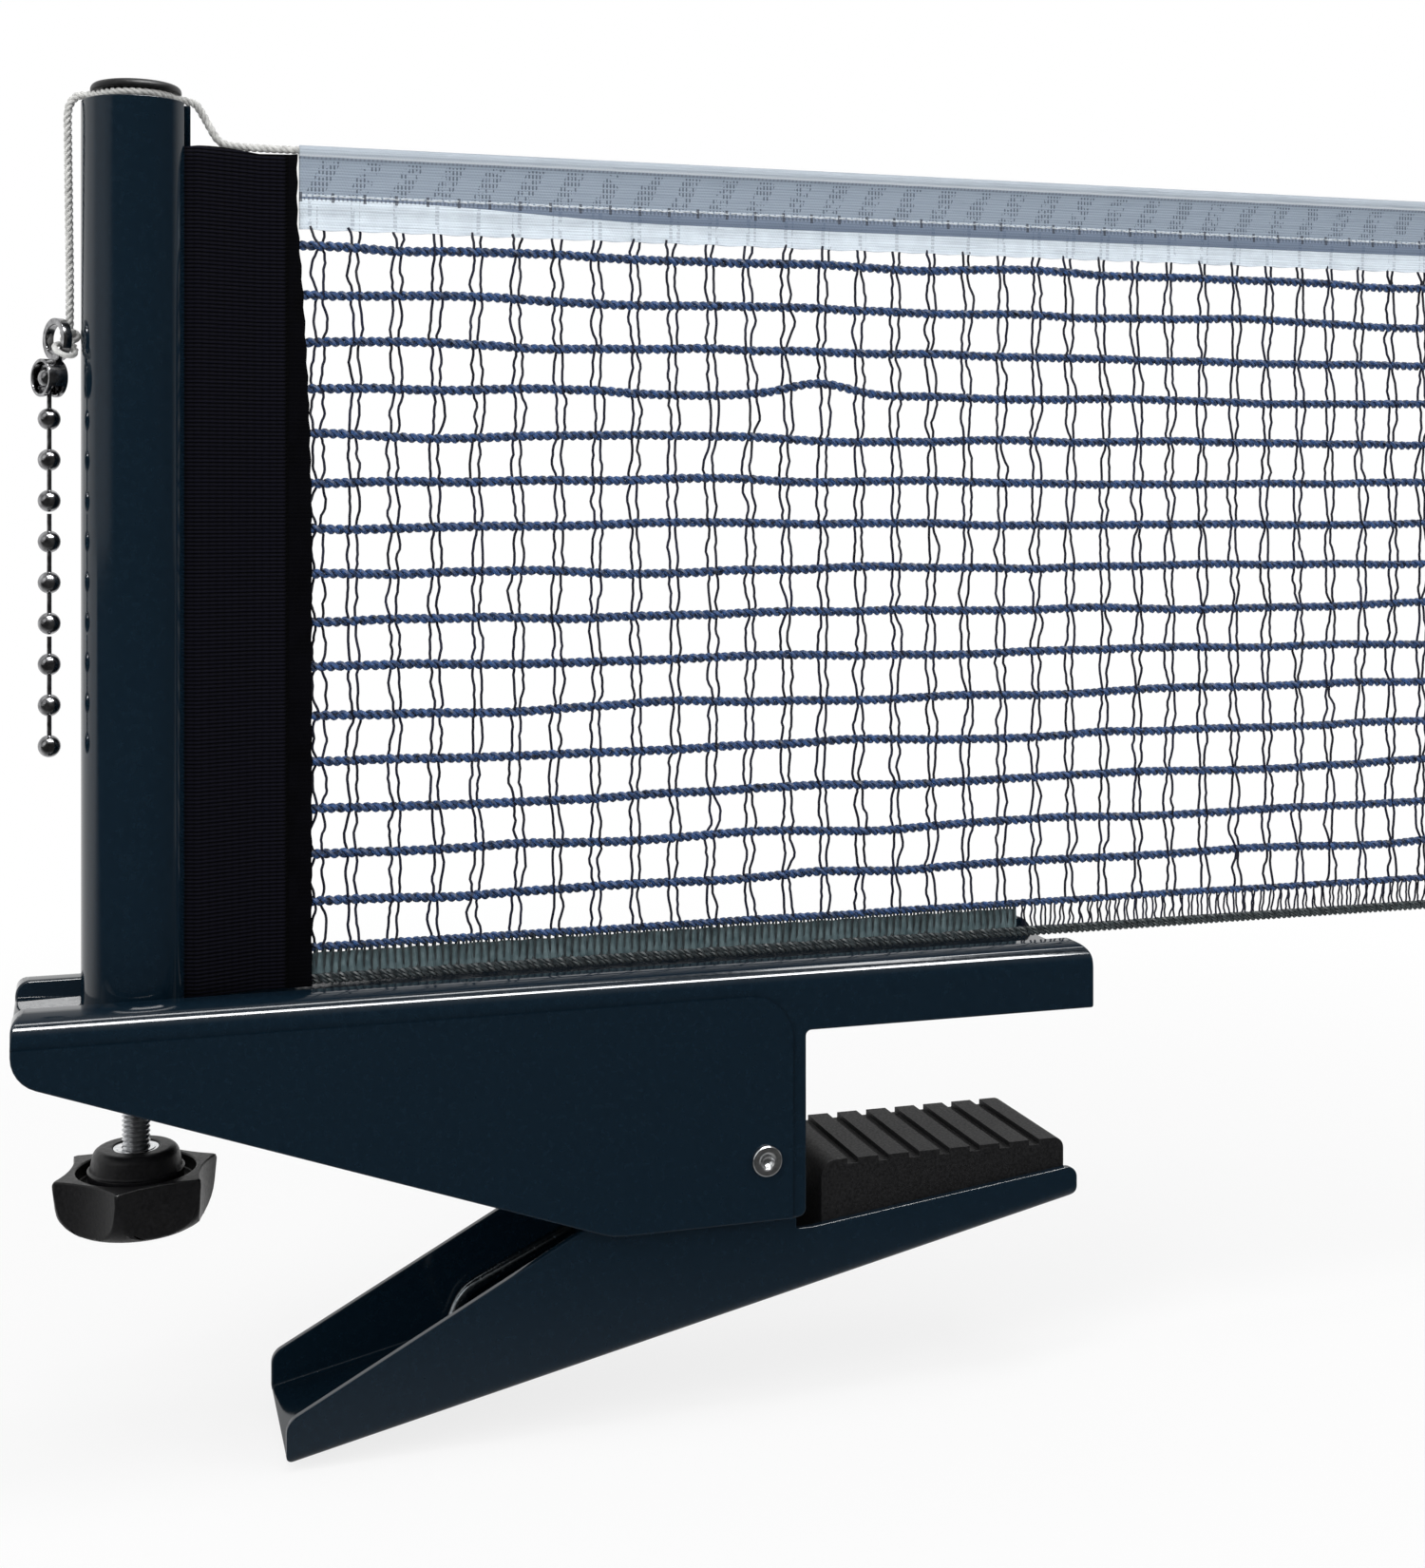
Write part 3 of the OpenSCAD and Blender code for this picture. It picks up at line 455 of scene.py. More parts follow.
# %% [markdown]
# ## Rounding the edges of CAD solids
# A CAD solid has knife edges, and no real part has. Light catches on the small round of an edge
# and draws it as a bright line, which is most of what makes metal look like metal. The parts
# could be modelled again by hand, but a Bevel modifier on a copy starts from the CAD's form. After
# it, Weighted Normal lets the large flat faces win over the thin round ones, so that a flat wall
# shades flat.


# %% Dressed copies of CAD solids
def marked_copy(node, angle, left_sharp):
    """A merged copy of a CAD node's mesh, with a weight on each edge that is to be rounded."""
    mesh = nodes[node].data.copy()
    work = bmesh.new()
    work.from_mesh(mesh)
    bmesh.ops.remove_doubles(work, verts=work.verts, dist=2e-6)
    bmesh.ops.dissolve_limit(work, angle_limit=math.radians(1.0), verts=work.verts,
                             edges=work.edges)
    weight = work.edges.layers.float.new("bevel_weight_edge")
    for one in work.edges:
        hard = len(one.link_faces) == 2 and one.calc_face_angle() > math.radians(angle)
        if hard and not all(left_sharp(v.co / MM) for v in one.verts):
            one[weight] = 1.0
    work.to_mesh(mesh)
    work.free()
    return mesh


def dressed(name, node, material, bevel, segments=3, angle=28, left_sharp=lambda point: False):
    """A copy of a CAD node whose edges sharper than `angle` are rounded `bevel` mm wide."""
    obj = link(name, marked_copy(node, angle, left_sharp), material)
    edge = obj.modifiers.new("edges", "BEVEL")
    edge.width = bevel * MM
    edge.segments = segments
    edge.limit_method = "WEIGHT"
    edge.use_clamp_overlap = False
    edge.miter_outer = "MITER_ARC"
    bake(obj)
    smooth(obj.data, 35)
    for face in obj.data.polygons:
        if all(left_sharp(obj.data.vertices[i].co / MM) for i in face.vertices):
            face.use_smooth = False
    flat = obj.modifiers.new("flat walls", "WEIGHTED_NORMAL")
    flat.mode = "FACE_AREA"
    flat.weight = 100
    flat.keep_sharp = True
    bake(obj)
    return place_piece(obj, node)


# %% [markdown]
# ## Helpers for Geometry Nodes
# Threads, stitches and chain balls come in long rows. A loop in code could copy them, but a tree
# with named inputs is drawn once and grown again with other sizes: the same tree makes the
# net's cords and the hem's. Each result is turned into a plain mesh straight away.

# %% Geometry Nodes helpers
SOCKETS = {int: "NodeSocketInt", float: "NodeSocketFloat", tuple: "NodeSocketVector"}


def new_tree(name, **inputs):
    """A geometry tree with named inputs. Returns its graph and its input sockets."""
    tree = bpy.data.node_groups.new(name, "GeometryNodeTree")
    for title, value in inputs.items():
        socket = tree.interface.new_socket(title, in_out="INPUT", socket_type=SOCKETS[type(value)])
        socket.default_value = value
    tree.interface.new_socket("Material", in_out="INPUT", socket_type="NodeSocketMaterial")
    tree.interface.new_socket("Geometry", in_out="OUTPUT", socket_type="NodeSocketGeometry")
    graph = Graph(tree)
    return graph, graph.node("NodeGroupInput").outputs


def close_tree(graph, geometry, material):
    real = graph.node("GeometryNodeRealizeInstances", {0: geometry}).outputs[0]
    made = graph.node("GeometryNodeSetMaterial", {"Geometry": real, "Material": material})
    graph.node("NodeGroupOutput", {0: made.outputs[0]})
    return graph.tree


def grown(name, node, tree, material, **values):
    """Runs a tree with these inputs, keeps the plain mesh and places it for a CAD node."""
    obj = bpy.data.objects.new(name, bpy.data.meshes.new(name))
    scene.collection.objects.link(obj)
    maker = obj.modifiers.new("maker", "NODES")
    maker.node_group = tree
    values["Material"] = material
    for item in tree.interface.items_tree:
        if item.in_out == "INPUT" and item.name in values:
            maker[item.identifier] = values[item.name]
    bake(obj)
    smooth(obj.data, 60)
    return place_piece(obj, node)


def in_a_row(graph, given, shape, **feeds):
    """Instances of a shape at Count points, the first at First, each Step from the last."""
    spots = graph.node("GeometryNodeMeshLine", {"Count": given["Count"],
                                                "Start Location": given["First"],
                                                "Offset": given["Step"]})
    return graph.node("GeometryNodeInstanceOnPoints", {"Points": spots.outputs[0],
                                                       "Instance": shape, **feeds}).outputs[0]


# %% [markdown]
# ## The pressed arm and the hand lever
# Each is one piece of sheet steel, drawn in a press and enamelled. The press leaves every fold
# round, and the folds are what shine. They could be built again as sheets with Solidify, but the
# CAD solid already has the folds, the thickness and the raised panel, so its copy only needs the
# fine rounding that cut edges get under enamel. The step round the panel is 0.6 mm high, too low
# for one rounding at its head and another at its foot, so it is left as it is.

# %% Pressed parts
PANEL_TOP, PANEL_END, CORNER = 6.9, -2.8, 8.0
WALL, PROUD = 17.4, 18.0


def on_panel_step(point):
    """True on the low step round the arm's raised panel."""
    if not WALL - 0.05 < abs(point.y) < PROUD + 0.05:
        return False
    across, up = point.x - (PANEL_END - CORNER), point.z - (PANEL_TOP - CORNER)
    if across > 0 and up > 0:
        return abs(math.hypot(across, up) - CORNER) < 0.15
    return abs(up - CORNER) < 0.1 or abs(across - CORNER) < 0.1


dressed("pressed_arm", "arm", enamel, 0.42, left_sharp=on_panel_step)
dressed("hand_lever", "lever", enamel, 0.25)
dressed("slit_post", "post_tube", enamel, 0.22)

# %% [markdown]
# ## Rivet and small steel parts
# The lever turns on a rivet whose ends are flared to rims and dished by the tool that sets them.
# The CAD draws a tube with rims, and its copy gets rounded edges. A Spin could turn the dishes;
# here a thin bowl is laid out ring by ring from four radii and depths, and closes each end of
# the bore. The chain's bent coupling is rounded too, and the parts that hardly show keep their
# CAD solids and only take a finish.

# %% Rivet, coupling and plated parts
PIVOT_X, PIVOT_Z = -7.8, -22.5
CUP = [(0.0, 0.95), (0.6, 0.85), (1.0, 0.5), (1.28, 0.1)]  # radius and depth
CUP_OUTSIDE, CUP_INSIDE, CUP_SIDES = 18.6, 18.2, 32


def circle(count):
    """The angles of `count` points round a circle."""
    return [2 * math.pi * k / count for k in range(count)]


def cup(side):
    """A thin bowl on one end of the rivet: rings for its walls and a point in each middle."""
    bowl = [(r, CUP_OUTSIDE - d) for r, d in CUP] + [(r, CUP_INSIDE - d) for r, d in CUP[::-1]]
    n, rings = CUP_SIDES, len(bowl) - 2
    points = [Vector((PIVOT_X + r * math.cos(a), side * y, PIVOT_Z + r * math.sin(a)))
              for r, y in bowl[1:-1] for a in circle(n)]
    points += [Vector((PIVOT_X, side * bowl[i][1], PIVOT_Z)) for i in (0, -1)]
    faces = [(i * n + k, i * n + (k + 1) % n, (i + 1) * n + (k + 1) % n, (i + 1) * n + k)
             for i in range(rings - 1) for k in range(n)]
    faces += [(rings * n, k, (k + 1) % n) for k in range(n)]
    last = (rings - 1) * n
    faces += [(rings * n + 1, last + (k + 1) % n, last + k) for k in range(n)]
    return points, faces


dressed("tube_rivet", "pivot_rivet", nickel, 0.12, segments=2, angle=40)
for name, side in (("front", -1), ("back", 1)):
    place_piece(piece("rivet_cup_" + name, cup(side), nickel, 50), "pivot_rivet")
dressed("bent_coupling", "chain_coupling", dark_nickel, 0.16, angle=40)
KEPT_SOLIDS = {"pivot_sleeve": zinc, "pivot_washers": zinc, "foot_pins": zinc,
               "height_nut": zinc, "screw_bracket": zinc, "thrust_washer": zinc,
               "band_rod": zinc, "screw_clip": spring_steel, "knob_insert": nickel,
               "post_foot": plastic}
for name, material in KEPT_SOLIDS.items():
    nodes[name].material_slots[0].material = material
print(len(KEPT_SOLIDS), "CAD solids keep their own meshes")

# %% [markdown]
# ## The spring
# A double torsion spring is one wire: a leg under the arm's roof, a coil round the sleeve, a loop
# down to the lever's floor, and the same again in mirror image. A bevelled curve could draw it,
# but a tube of rings laid along the points gives a plain mesh at once, and the same helper winds
# the cord later on. The wire follows the centre line that the CAD gives. On the real clamp, when
# the lever turns, the upper legs stay in the arm, the loop follows the lever, and the coils wind
# up between; this wire is one fixed mesh.


# %% A wire along points
def heading(points, i):
    return (points[min(i + 1, len(points) - 1)] - points[max(i - 1, 0)]).normalized()


def rings_along(points, radius, sides, phase=0.0, off=0.0, lay=0.0):
    """Rings of points round a path. off and lay wind them round it, as a strand in a rope."""
    side = heading(points, 0).orthogonal().normalized()
    rings, run = [], 0.0
    for i, point in enumerate(points):
        t = heading(points, i)
        side = (side - side.dot(t) * t).normalized()
        up = t.cross(side)
        run += (point - points[i - 1]).length if i else 0.0
        turn = phase + (2 * math.pi * run / lay if lay else 0.0)
        centre = point + off * (math.cos(turn) * side + math.sin(turn) * up)
        rings.append([centre + radius * (math.cos(a) * side + math.sin(a) * up)
                      for a in circle(sides)])
    return rings


def skin(rings):
    """Closes rings of points into one tube with ends."""
    n = len(rings[0])
    points = [p for ring in rings for p in ring]
    faces = [(i * n + k, i * n + (k + 1) % n, (i + 1) * n + (k + 1) % n, (i + 1) * n + k)
             for i in range(len(rings) - 1) for k in range(n)]
    faces += [tuple(range(n))[::-1], tuple((len(rings) - 1) * n + k for k in range(n))]
    return points, faces


# %% Torsion spring
PIVOT = Vector((PIVOT_X, 0, PIVOT_Z))
WIRE, COIL, TURNS, PITCH, LEG_Y = 2.4, 5.0, 2, 3.0, 12.2
ROOF, CLEAR, LEG, LEG_LEAVES = 7.5, 0.3, 40.0, 0.85
WIRE_SIDES, COIL_STEPS = 16, 54
LOOP_LEAN, LOOP_FOOT, BEND = 2.6, 6.0, 2.8
# The leg rises from near the coil's top until its end is just clear of the arm's roof.
TILT = math.asin((ROOF - PIVOT_Z - WIRE / 2 - CLEAR - COIL * LEG_LEAVES) / LEG)
FOOT = Vector((-59.8, LEG_Y, -57.33))
KNEE = FOOT + Vector((LOOP_LEAN, 0, LOOP_FOOT))
coil_from = math.pi / 2 - TILT
to_knee = PIVOT - KNEE
loop_tilt = math.atan2(to_knee.z, to_knee.x) - math.asin(COIL / to_knee.length)
coil_to = -math.pi / 2 + loop_tilt - 2 * math.pi * TURNS
inner_y = LEG_Y - PITCH * (coil_from - coil_to) / (2 * math.pi)


def on_coil(angle, y):
    return PIVOT + Vector((COIL * math.cos(angle), y, COIL * math.sin(angle)))


def bent(a, b, c, r, count=8):
    """Points round the bend at b between a and c, starting r before it."""
    p, q = b + r * (a - b).normalized(), b + r * (c - b).normalized()
    return [p * (1 - t) ** 2 + b * 2 * t * (1 - t) + q * t * t
            for t in (k / count for k in range(count + 1))]


half = [on_coil(coil_from, inner_y) - d * Vector((math.cos(TILT), 0, -math.sin(TILT)))
        for d in (LEG, 30, 20, 10)]
half += [on_coil(coil_from + (coil_to - coil_from) * k / COIL_STEPS,
                 inner_y + (LEG_Y - inner_y) * k / COIL_STEPS) for k in range(COIL_STEPS + 1)]
last = half[-1].copy()
half += [last.lerp(KNEE, t / 4) for t in (1, 2, 3)]
half += bent(last, KNEE, FOOT, BEND) + bent(KNEE, FOOT, Vector((FOOT.x, 0, FOOT.z)), BEND)
wire = half + [Vector((p.x, -p.y, p.z)) for p in reversed(half)]
tube = skin(rings_along(wire, WIRE / 2, WIRE_SIDES))
spring = piece("torsion_wire", tube, spring_steel, 60)
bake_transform(spring)
stand_for(spring, "torsion_spring")

# %% [markdown]
# ## The height screw
# The screw lifts the post as the knob turns it. Its thread could be cut from a rod with a
# Boolean, which is slow and leaves ragged faces. Here each ring of points round the rod has its
# radius set by how far round and how far up it is, and that winds the groove without any cutting.

# %% Threaded screw
AXIS = -116.0
THREAD_SIDES, RINGS_A_TURN, COLLAR_SIDES = 40, 8, 48


def thread(low, high, radius, pitch, depth):
    rings = []
    for i in range(int((high - low) / pitch * RINGS_A_TURN) + 1):
        z = low + i * pitch / RINGS_A_TURN
        ease = max(0.0, min(1.0, (z - low) / pitch, (high - z) / pitch))
        ring = []
        for k, a in enumerate(circle(THREAD_SIDES)):
            turn = (z / pitch - k / THREAD_SIDES) % 1.0
            r = radius - depth * (1 - abs(2 * turn - 1)) * ease
            ring.append((AXIS + r * math.cos(a), r * math.sin(a), z))
        rings.append(ring)
    return skin(rings)


def lathed(profile):
    """Turns a profile of (radius, z) pairs round the post's axis."""
    return skin([[(AXIS + r * math.cos(a), r * math.sin(a), z) for a in circle(COLLAR_SIDES)]
                 for r, z in profile])


def join(shapes):
    points, faces = [], []
    for more, ones in shapes:
        base = len(points)
        points += more
        faces += [tuple(base + i for i in face) for face in ones]
    return points, faces


rod_with_thread = thread(low=-24.2, high=25.9, radius=2.4, pitch=0.8, depth=0.44)
collar = lathed([(2.2, -1.1), (4.3, -1.1), (4.4, -1.0), (4.4, -0.3), (4.3, -0.2), (2.2, -0.2)])
place_piece(piece("height_screw", join([rod_with_thread, collar]), zinc, 60), "adjusting_screw")

# %% [markdown]
# ## Knob, cap and pads
# The star knob and the cap are moulded plastic and the pads moulded rubber. A mould can't hold a
# knife edge either. They could be modelled softer from the start, but their CAD copies are
# rounded like the steel: the knob widely, and the pads only a little, because wide roundings
# would run into each other on their narrow ribs.

# %% Moulded parts
dressed("star_grip", "star_knob", plastic, 0.35, angle=30)
dressed("cord_cap", "post_cap", plastic, 0.15, segments=2, angle=40)
dressed("ribbed_pad_upper", "upper_pad", rubber, 0.08, segments=2, angle=40)
dressed("ribbed_pad_lower", "lower_pad", rubber, 0.08, segments=2, angle=40)

# %% [markdown]
# ## The netting
# Fifteen level cords, each of two strands twisted together, carry the net. A pattern on a flat
# plate would be cheap, but the holes are what makes a net, so every cord is real. A row of
# curves is wound by the sine and cosine of the place along it, which gives the twist. Noise lets
# the cords sag and rise, and one of them is pulled up in a soft bulge, as on a net in use.

# %% Level cords
NET_LEFT, NET_RIGHT = -88.6, 146.4
ROW_PITCH, FIRST_ROW, ROWS, SNAGGED_ROW = 8.24, 24.84, 15, 11
STRAND_SIDES = 5  # few, because there are so many strands
NEAR_ROW = 0.002  # metres within which a curve counts as the snagged row
ROW_TURN = 900.0  # radians a metre of height, so that no two rows twist in step
BELL_BASE = 2.718  # about e, for the bell shape of the snag


def offset_curves(graph, curves, shift, radius, sides):
    """Moves the points of curves by `shift` and lays a tube along them."""
    moved = graph.node("GeometryNodeSetPosition", {"Geometry": curves, "Offset": shift})
    ring = graph.node("GeometryNodeCurvePrimitiveCircle", {"Resolution": sides, "Radius": radius})
    made = graph.node("GeometryNodeCurveToMesh", {"Curve": moved.outputs[0],
                                                  "Profile Curve": ring.outputs[0],
                                                  "Fill Caps": True})
    return made.outputs[0]


def straight_curves(graph, given):
    """A row of straight curves, each of Points points, that end at End from their start."""
    one = graph.node("GeometryNodeCurvePrimitiveLine", {"Start": (0, 0, 0), "End": given["End"]})
    fine = graph.node("GeometryNodeResampleCurve", {"Curve": one.outputs[0],
                                                    "Count": given["Points"]})
    many = in_a_row(graph, given, fine.outputs[0])
    return graph.node("GeometryNodeRealizeInstances", {0: many}).outputs[0]


g, given = new_tree("twisted level cords", Count=15, First=(0.0, 0.0, 0.0),
                    Step=(0.0, 0.0, 0.008), End=(0.2, 0.0, 0.0), Points=400,
                    Strand=0.00036, Twist=0.0022, Wander=0.0006,
                    Snag=0.0, Snag_At=0.0, Snag_Width=0.008, Snag_Row=0.0)
curves = straight_curves(g, given)
x, y, z = g.split(g.node("GeometryNodeInputPosition").outputs[0])
drift = g.math("MULTIPLY", g.math("SUBTRACT", g.streaks(x, z, 26.0, 400.0), 0.5), given["Wander"])
off = g.math("DIVIDE", g.math("SUBTRACT", x, given["Snag_At"]), given["Snag_Width"])
bell = g.math("POWER", BELL_BASE, g.math("MULTIPLY", g.math("MULTIPLY", off, off), -1.0))
pulled = g.math("MULTIPLY", bell, g.math("LESS_THAN", g.apart(z, given["Snag_Row"]), NEAR_ROW))
drift = g.math("MULTIPLY_ADD", pulled, given["Snag"], drift)
turn = g.math("ADD", g.math("DIVIDE", g.math("MULTIPLY", x, 2 * math.pi), given["Twist"]),
              g.math("MULTIPLY", z, ROW_TURN))
strands = []
for phase in (0.0, math.pi):
    here = g.math("ADD", turn, phase)
    out = g.math("MULTIPLY", g.math("COSINE", here), given["Strand"])
    up = g.math("MULTIPLY", g.math("SINE", here), given["Strand"])
    shift = g.vector(0.0, out, g.math("ADD", up, drift))
    strands.append(offset_curves(g, curves, shift, given["Strand"], STRAND_SIDES))
cord_tree = close_tree(g, g.joined(strands), given["Material"])

level_cords = grown("level_cords", "net_mesh", cord_tree, navy_cord_painted_highlights, Count=ROWS,
                    First=(NET_LEFT * MM, 0.0, FIRST_ROW * MM), Step=(0.0, 0.0, ROW_PITCH * MM),
                    End=((NET_RIGHT - NET_LEFT) * MM, 0.0, 0.0), Points=640,
                    Strand=0.00047, Twist=0.0031, Wander=0.003, Snag=0.002, Snag_At=0.0085,
                    Snag_Row=(FIRST_ROW + SNAGGED_ROW * ROW_PITCH) * MM)

# %% [markdown]
# ## The thread pairs
# Thin threads cross the level cords in pairs and are knotted to each one. Between two cords the
# two threads of a pair bow apart, and they pass on different sides of a cord. Straight lines
# would look like wire mesh, so each pair sways with slow noise and each thread wanders with
# quick noise of its own.

# %% Thread pairs
g, given = new_tree("thread pairs", Count=30, First=(0.0, 0.0, 0.0),
                    Step=(0.007, 0.0, 0.0), End=(0.0, 0.0, 0.12), Points=130,
                    Thread=0.00022, Spread=0.0006, Bow=0.00022, Wander=0.0015,
                    Sway=0.0034, Row_Pitch=0.00824, Row_Start=0.0248)
curves = straight_curves(g, given)
x, y, z = g.split(g.node("GeometryNodeInputPosition").outputs[0])
phase = g.math("DIVIDE", g.math("SUBTRACT", z, given["Row_Start"]), given["Row_Pitch"])


def wandering(x_scale, z_scale, seat, size):
    """Noise along the net, centred on nothing, `size` metres high."""
    noise = g.streaks(x, z, x_scale, z_scale, seat)
    return g.math("MULTIPLY", g.math("SUBTRACT", noise, 0.5), size)


sway = g.math("ADD", wandering(34.0, 75.0, 4.0, given["Sway"]),
              wandering(90.0, 260.0, 7.0, given["Wander"]))
bow = g.math("MULTIPLY_ADD", g.humps(phase), given["Bow"], given["Spread"])
weave = g.math("COSINE", g.math("MULTIPLY", phase, math.pi))
CROSSING = 0.0004  # metres by which a thread passes in front of a cord or behind it
sides = []
for side in (-1.0, 1.0):
    own = g.math("ADD", sway, wandering(150.0, 330.0, side * 0.9, given["Wander"]))
    shift = g.vector(g.math("MULTIPLY_ADD", bow, side, own),
                     g.math("MULTIPLY", weave, CROSSING * side), 0.0)
    sides.append(offset_curves(g, curves, shift, given["Thread"], STRAND_SIDES))
pair_tree = close_tree(g, g.joined(sides), given["Material"])

COLUMNS, PAIR_LOW, PAIR_HIGH = 31, 17.2, 143.8
pairs = grown("thread_pairs", "net_mesh", pair_tree, thread_navy, Count=COLUMNS,
              First=(FIRST_COLUMN * MM, 0.0, PAIR_LOW * MM), Step=(COLUMN_PITCH * MM, 0.0, 0.0),
              End=(0.0, 0.0, (PAIR_HIGH - PAIR_LOW) * MM), Points=150, Row_Pitch=ROW_PITCH * MM,
              Row_Start=FIRST_ROW * MM, Thread=0.00026)

# %% [markdown]
# ## The hem
# Below the last row the net is knitted close, with an upright stitch every millimetre or two.
# Over the clamp the stitches are backed by a fleece that stops the net from stretching there;
# further on they are bare threads. One cord runs above them and a doubled one below. All could
# be drawn anew, but the two trees above make the cords and stitches with other sizes, and the
# fleece is a swept strip of its own.

# %% Hem cords and stitches
HEM_LOW, HEM_TOP, HEM_LEFT, HEM_RIGHT, FLEECE_END = 11.1, 16.9, -86.2, 146.0, 49.6
HEM_LENGTH = ((HEM_RIGHT - HEM_LEFT) * MM, 0.0, 0.0)
STITCH_FOOT, STITCH_UP = 11.2 * MM, (0.0, 0.0, 5.6 * MM)
hem_top_cord = grown("hem_top_cord", "bottom_hem", cord_tree, navy_cord_painted_highlights, Count=1,
                     First=(HEM_LEFT * MM, 0.0, HEM_TOP * MM), Step=(0.0, 0.0, 0.0),
                     End=HEM_LENGTH, Points=640, Strand=0.0004, Twist=0.0028, Wander=0.0006)
hem_low_cord = grown("hem_low_cord", "bottom_hem", cord_tree, hem_yarn, Count=2,
                     First=(HEM_LEFT * MM, 0.0, (HEM_LOW - 0.1) * MM), Step=(0.0, 0.0, 0.0007),
                     End=HEM_LENGTH, Points=640, Strand=0.00034, Twist=0.0024, Wander=0.0003)
close_stitches = grown("close_stitches", "bottom_hem", pair_tree, hem_yarn, Count=97,
                       First=((HEM_LEFT + 0.6) * MM, 0.0, STITCH_FOOT),
                       Step=(1.4 * MM, 0.0, 0.0), End=STITCH_UP, Points=7, Thread=0.00024,
                       Spread=0.00016, Bow=0.0, Wander=0.0005, Sway=0.0005)
open_stitches = grown("open_stitches", "bottom_hem", pair_tree, thread_navy, Count=47,
                      First=((FLEECE_END + 0.7) * MM, 0.0, STITCH_FOOT),
                      Step=(2.04 * MM, 0.0, 0.0), End=STITCH_UP, Points=12, Thread=0.0002,
                      Spread=0.0005, Bow=0.0001, Wander=0.0016, Sway=0.0012)

# %% Hem fleece strip
FLEECE_STEPS = 120
film_rows = [(0.16, 12.2), (0.24, 12.7), (0.22, 13.8), (0.26, 15.0), (0.14, 15.9)]


def there_and_back(rows):
    """A closed section: one face's (y, z) points up, and the other face's down again."""
    return rows + [(-y, z) for y, z in reversed(rows)]


stations = [HEM_LEFT + (FLEECE_END - HEM_LEFT) * i / FLEECE_STEPS
            for i in range(FLEECE_STEPS + 1)]
fleece_mesh = skin([[Vector((x, y + 0.1 * math.sin(x * 0.9), z + 0.1 * math.sin(x * 4.4)))
                     for y, z in there_and_back(film_rows)] for x in stations])
hem_fleece = place_piece(piece("hem_fleece", fleece_mesh, hem_film, 50), "bottom_hem")

# %% [markdown]
# ## The white tape
# The tape is a ribbon folded over a cord, so its cross-section is a thin loop that swells at the
# top. It could be draped with a cloth simulation, but it is held along its whole length and only
# ripples a little, so the loop is swept along the net with a slight wave, and its low edge
# puckers where each thread pair pulls at it.

# %% Tape ribbon
TAPE_LEFT, TAPE_RIGHT, TAPE_STEPS = -88.4, 146.2, 260
tape_half = [(0.3, 143.2), (0.34, 145.0), (0.36, 146.4), (0.62, 146.7), (0.64, 148.6),
             (0.5, 149.1), (0.52, 149.8), (0.5, 152.0), (0.55, 155.0), (0.62, 155.7),
             (0.98, 156.1), (1.08, 156.5), (1.08, 157.1), (0.8, 157.6), (0.35, 157.95)]


def tape_point(x, y, z):
    sway = 0.16 * math.sin(x * 0.21) + 0.08 * math.sin(x * 0.63 + 1.0)
    low = max(0.0, (147.0 - z) / 4.0)
    pull = 0.12 * low * math.sin(x * 2 * math.pi / COLUMN_PITCH)
    return Vector((x, y * (1 + 0.1 * math.sin(x * 0.9)) + sway * low, z + pull))


tape_stations = [TAPE_LEFT + (TAPE_RIGHT - TAPE_LEFT) * i / TAPE_STEPS
                 for i in range(TAPE_STEPS + 1)]
tape = piece("folded_tape", skin([[tape_point(x, y, z) for y, z in there_and_back(tape_half)]
                                  for x in tape_stations]), tape_cloth, 50)
place_piece(tape, "top_tape")

# %% [markdown]
# ## Stitches in the tape
# The line that holds the fold stands proud of the cloth, and its thread catches the light. Paint
# alone would leave it flat, so a short rod is repeated along a line of points, and every second
# one leans the other way.

# %% Stitches
g, given = new_tree("row of stitches", Count=10, First=(0.0, 0.0, 0.0),
                    Step=(0.001, 0.0, 0.0), Along=(0.0, 0.0, 0.0008),
                    Lean=(0.0, 0.0, 0.0), Thread=0.00014)
index = g.node("GeometryNodeInputIndex").outputs[0]
flip = g.math("MULTIPLY_ADD", g.math("MODULO", index, 2.0), 2.0, -1.0)
leaning = g.node("ShaderNodeVectorMath", {0: given["Lean"], "Scale": flip}, operation="SCALE")
bar = g.node("GeometryNodeCurvePrimitiveLine", {"Start": (0, 0, 0), "End": given["Along"]})
ring = g.node("GeometryNodeCurvePrimitiveCircle", {"Resolution": 6, "Radius": given["Thread"]})
dash = g.node("GeometryNodeCurveToMesh", {"Curve": bar.outputs[0], "Fill Caps": True,
                                          "Profile Curve": ring.outputs[0]})
many = in_a_row(g, given, dash.outputs[0], Rotation=leaning.outputs[0])
stitch_tree = close_tree(g, many, given["Material"])
SEAM_OUT, SEAM_PITCH, STITCH_LONG = 0.56, 1.54, 1.15
for name, side in (("tape_seam_front", -1.0), ("tape_seam_back", 1.0)):
    grown(name, "top_tape", stitch_tree, seam_thread, Count=150,
          First=(-86.0 * MM, side * SEAM_OUT * MM, 149.1 * MM), Step=(SEAM_PITCH * MM, 0.0, 0.0),
          Along=(STITCH_LONG * MM, 0.0, 0.0), Lean=(0.0, 0.12, 0.0), Thread=0.00013)

# %% [markdown]
# ## The end bands
# A black woven band is sewn to each end of the net and folded round a rod. The rod is wider than
# the slit in the post, so it cannot pull through. A plane with Solidify would have to be bent
# round the rod first. Here the band's plan is drawn once, as an outline that runs round the rod
# and along both faces, and raised in small steps, so that its edges can wander as woven ones do.

# %% Plan of a band
SLIT = math.radians(-20)
ROD_OUT, MOUTH_OUT, WRAP, THICK, THIN_END = 5.3, 10.6, 2.25, 2.1, 0.85
WRAP_STEPS, WRAP_OPEN, WRAP_TURN, FACE_STEPS = 20, 35, 290, 10


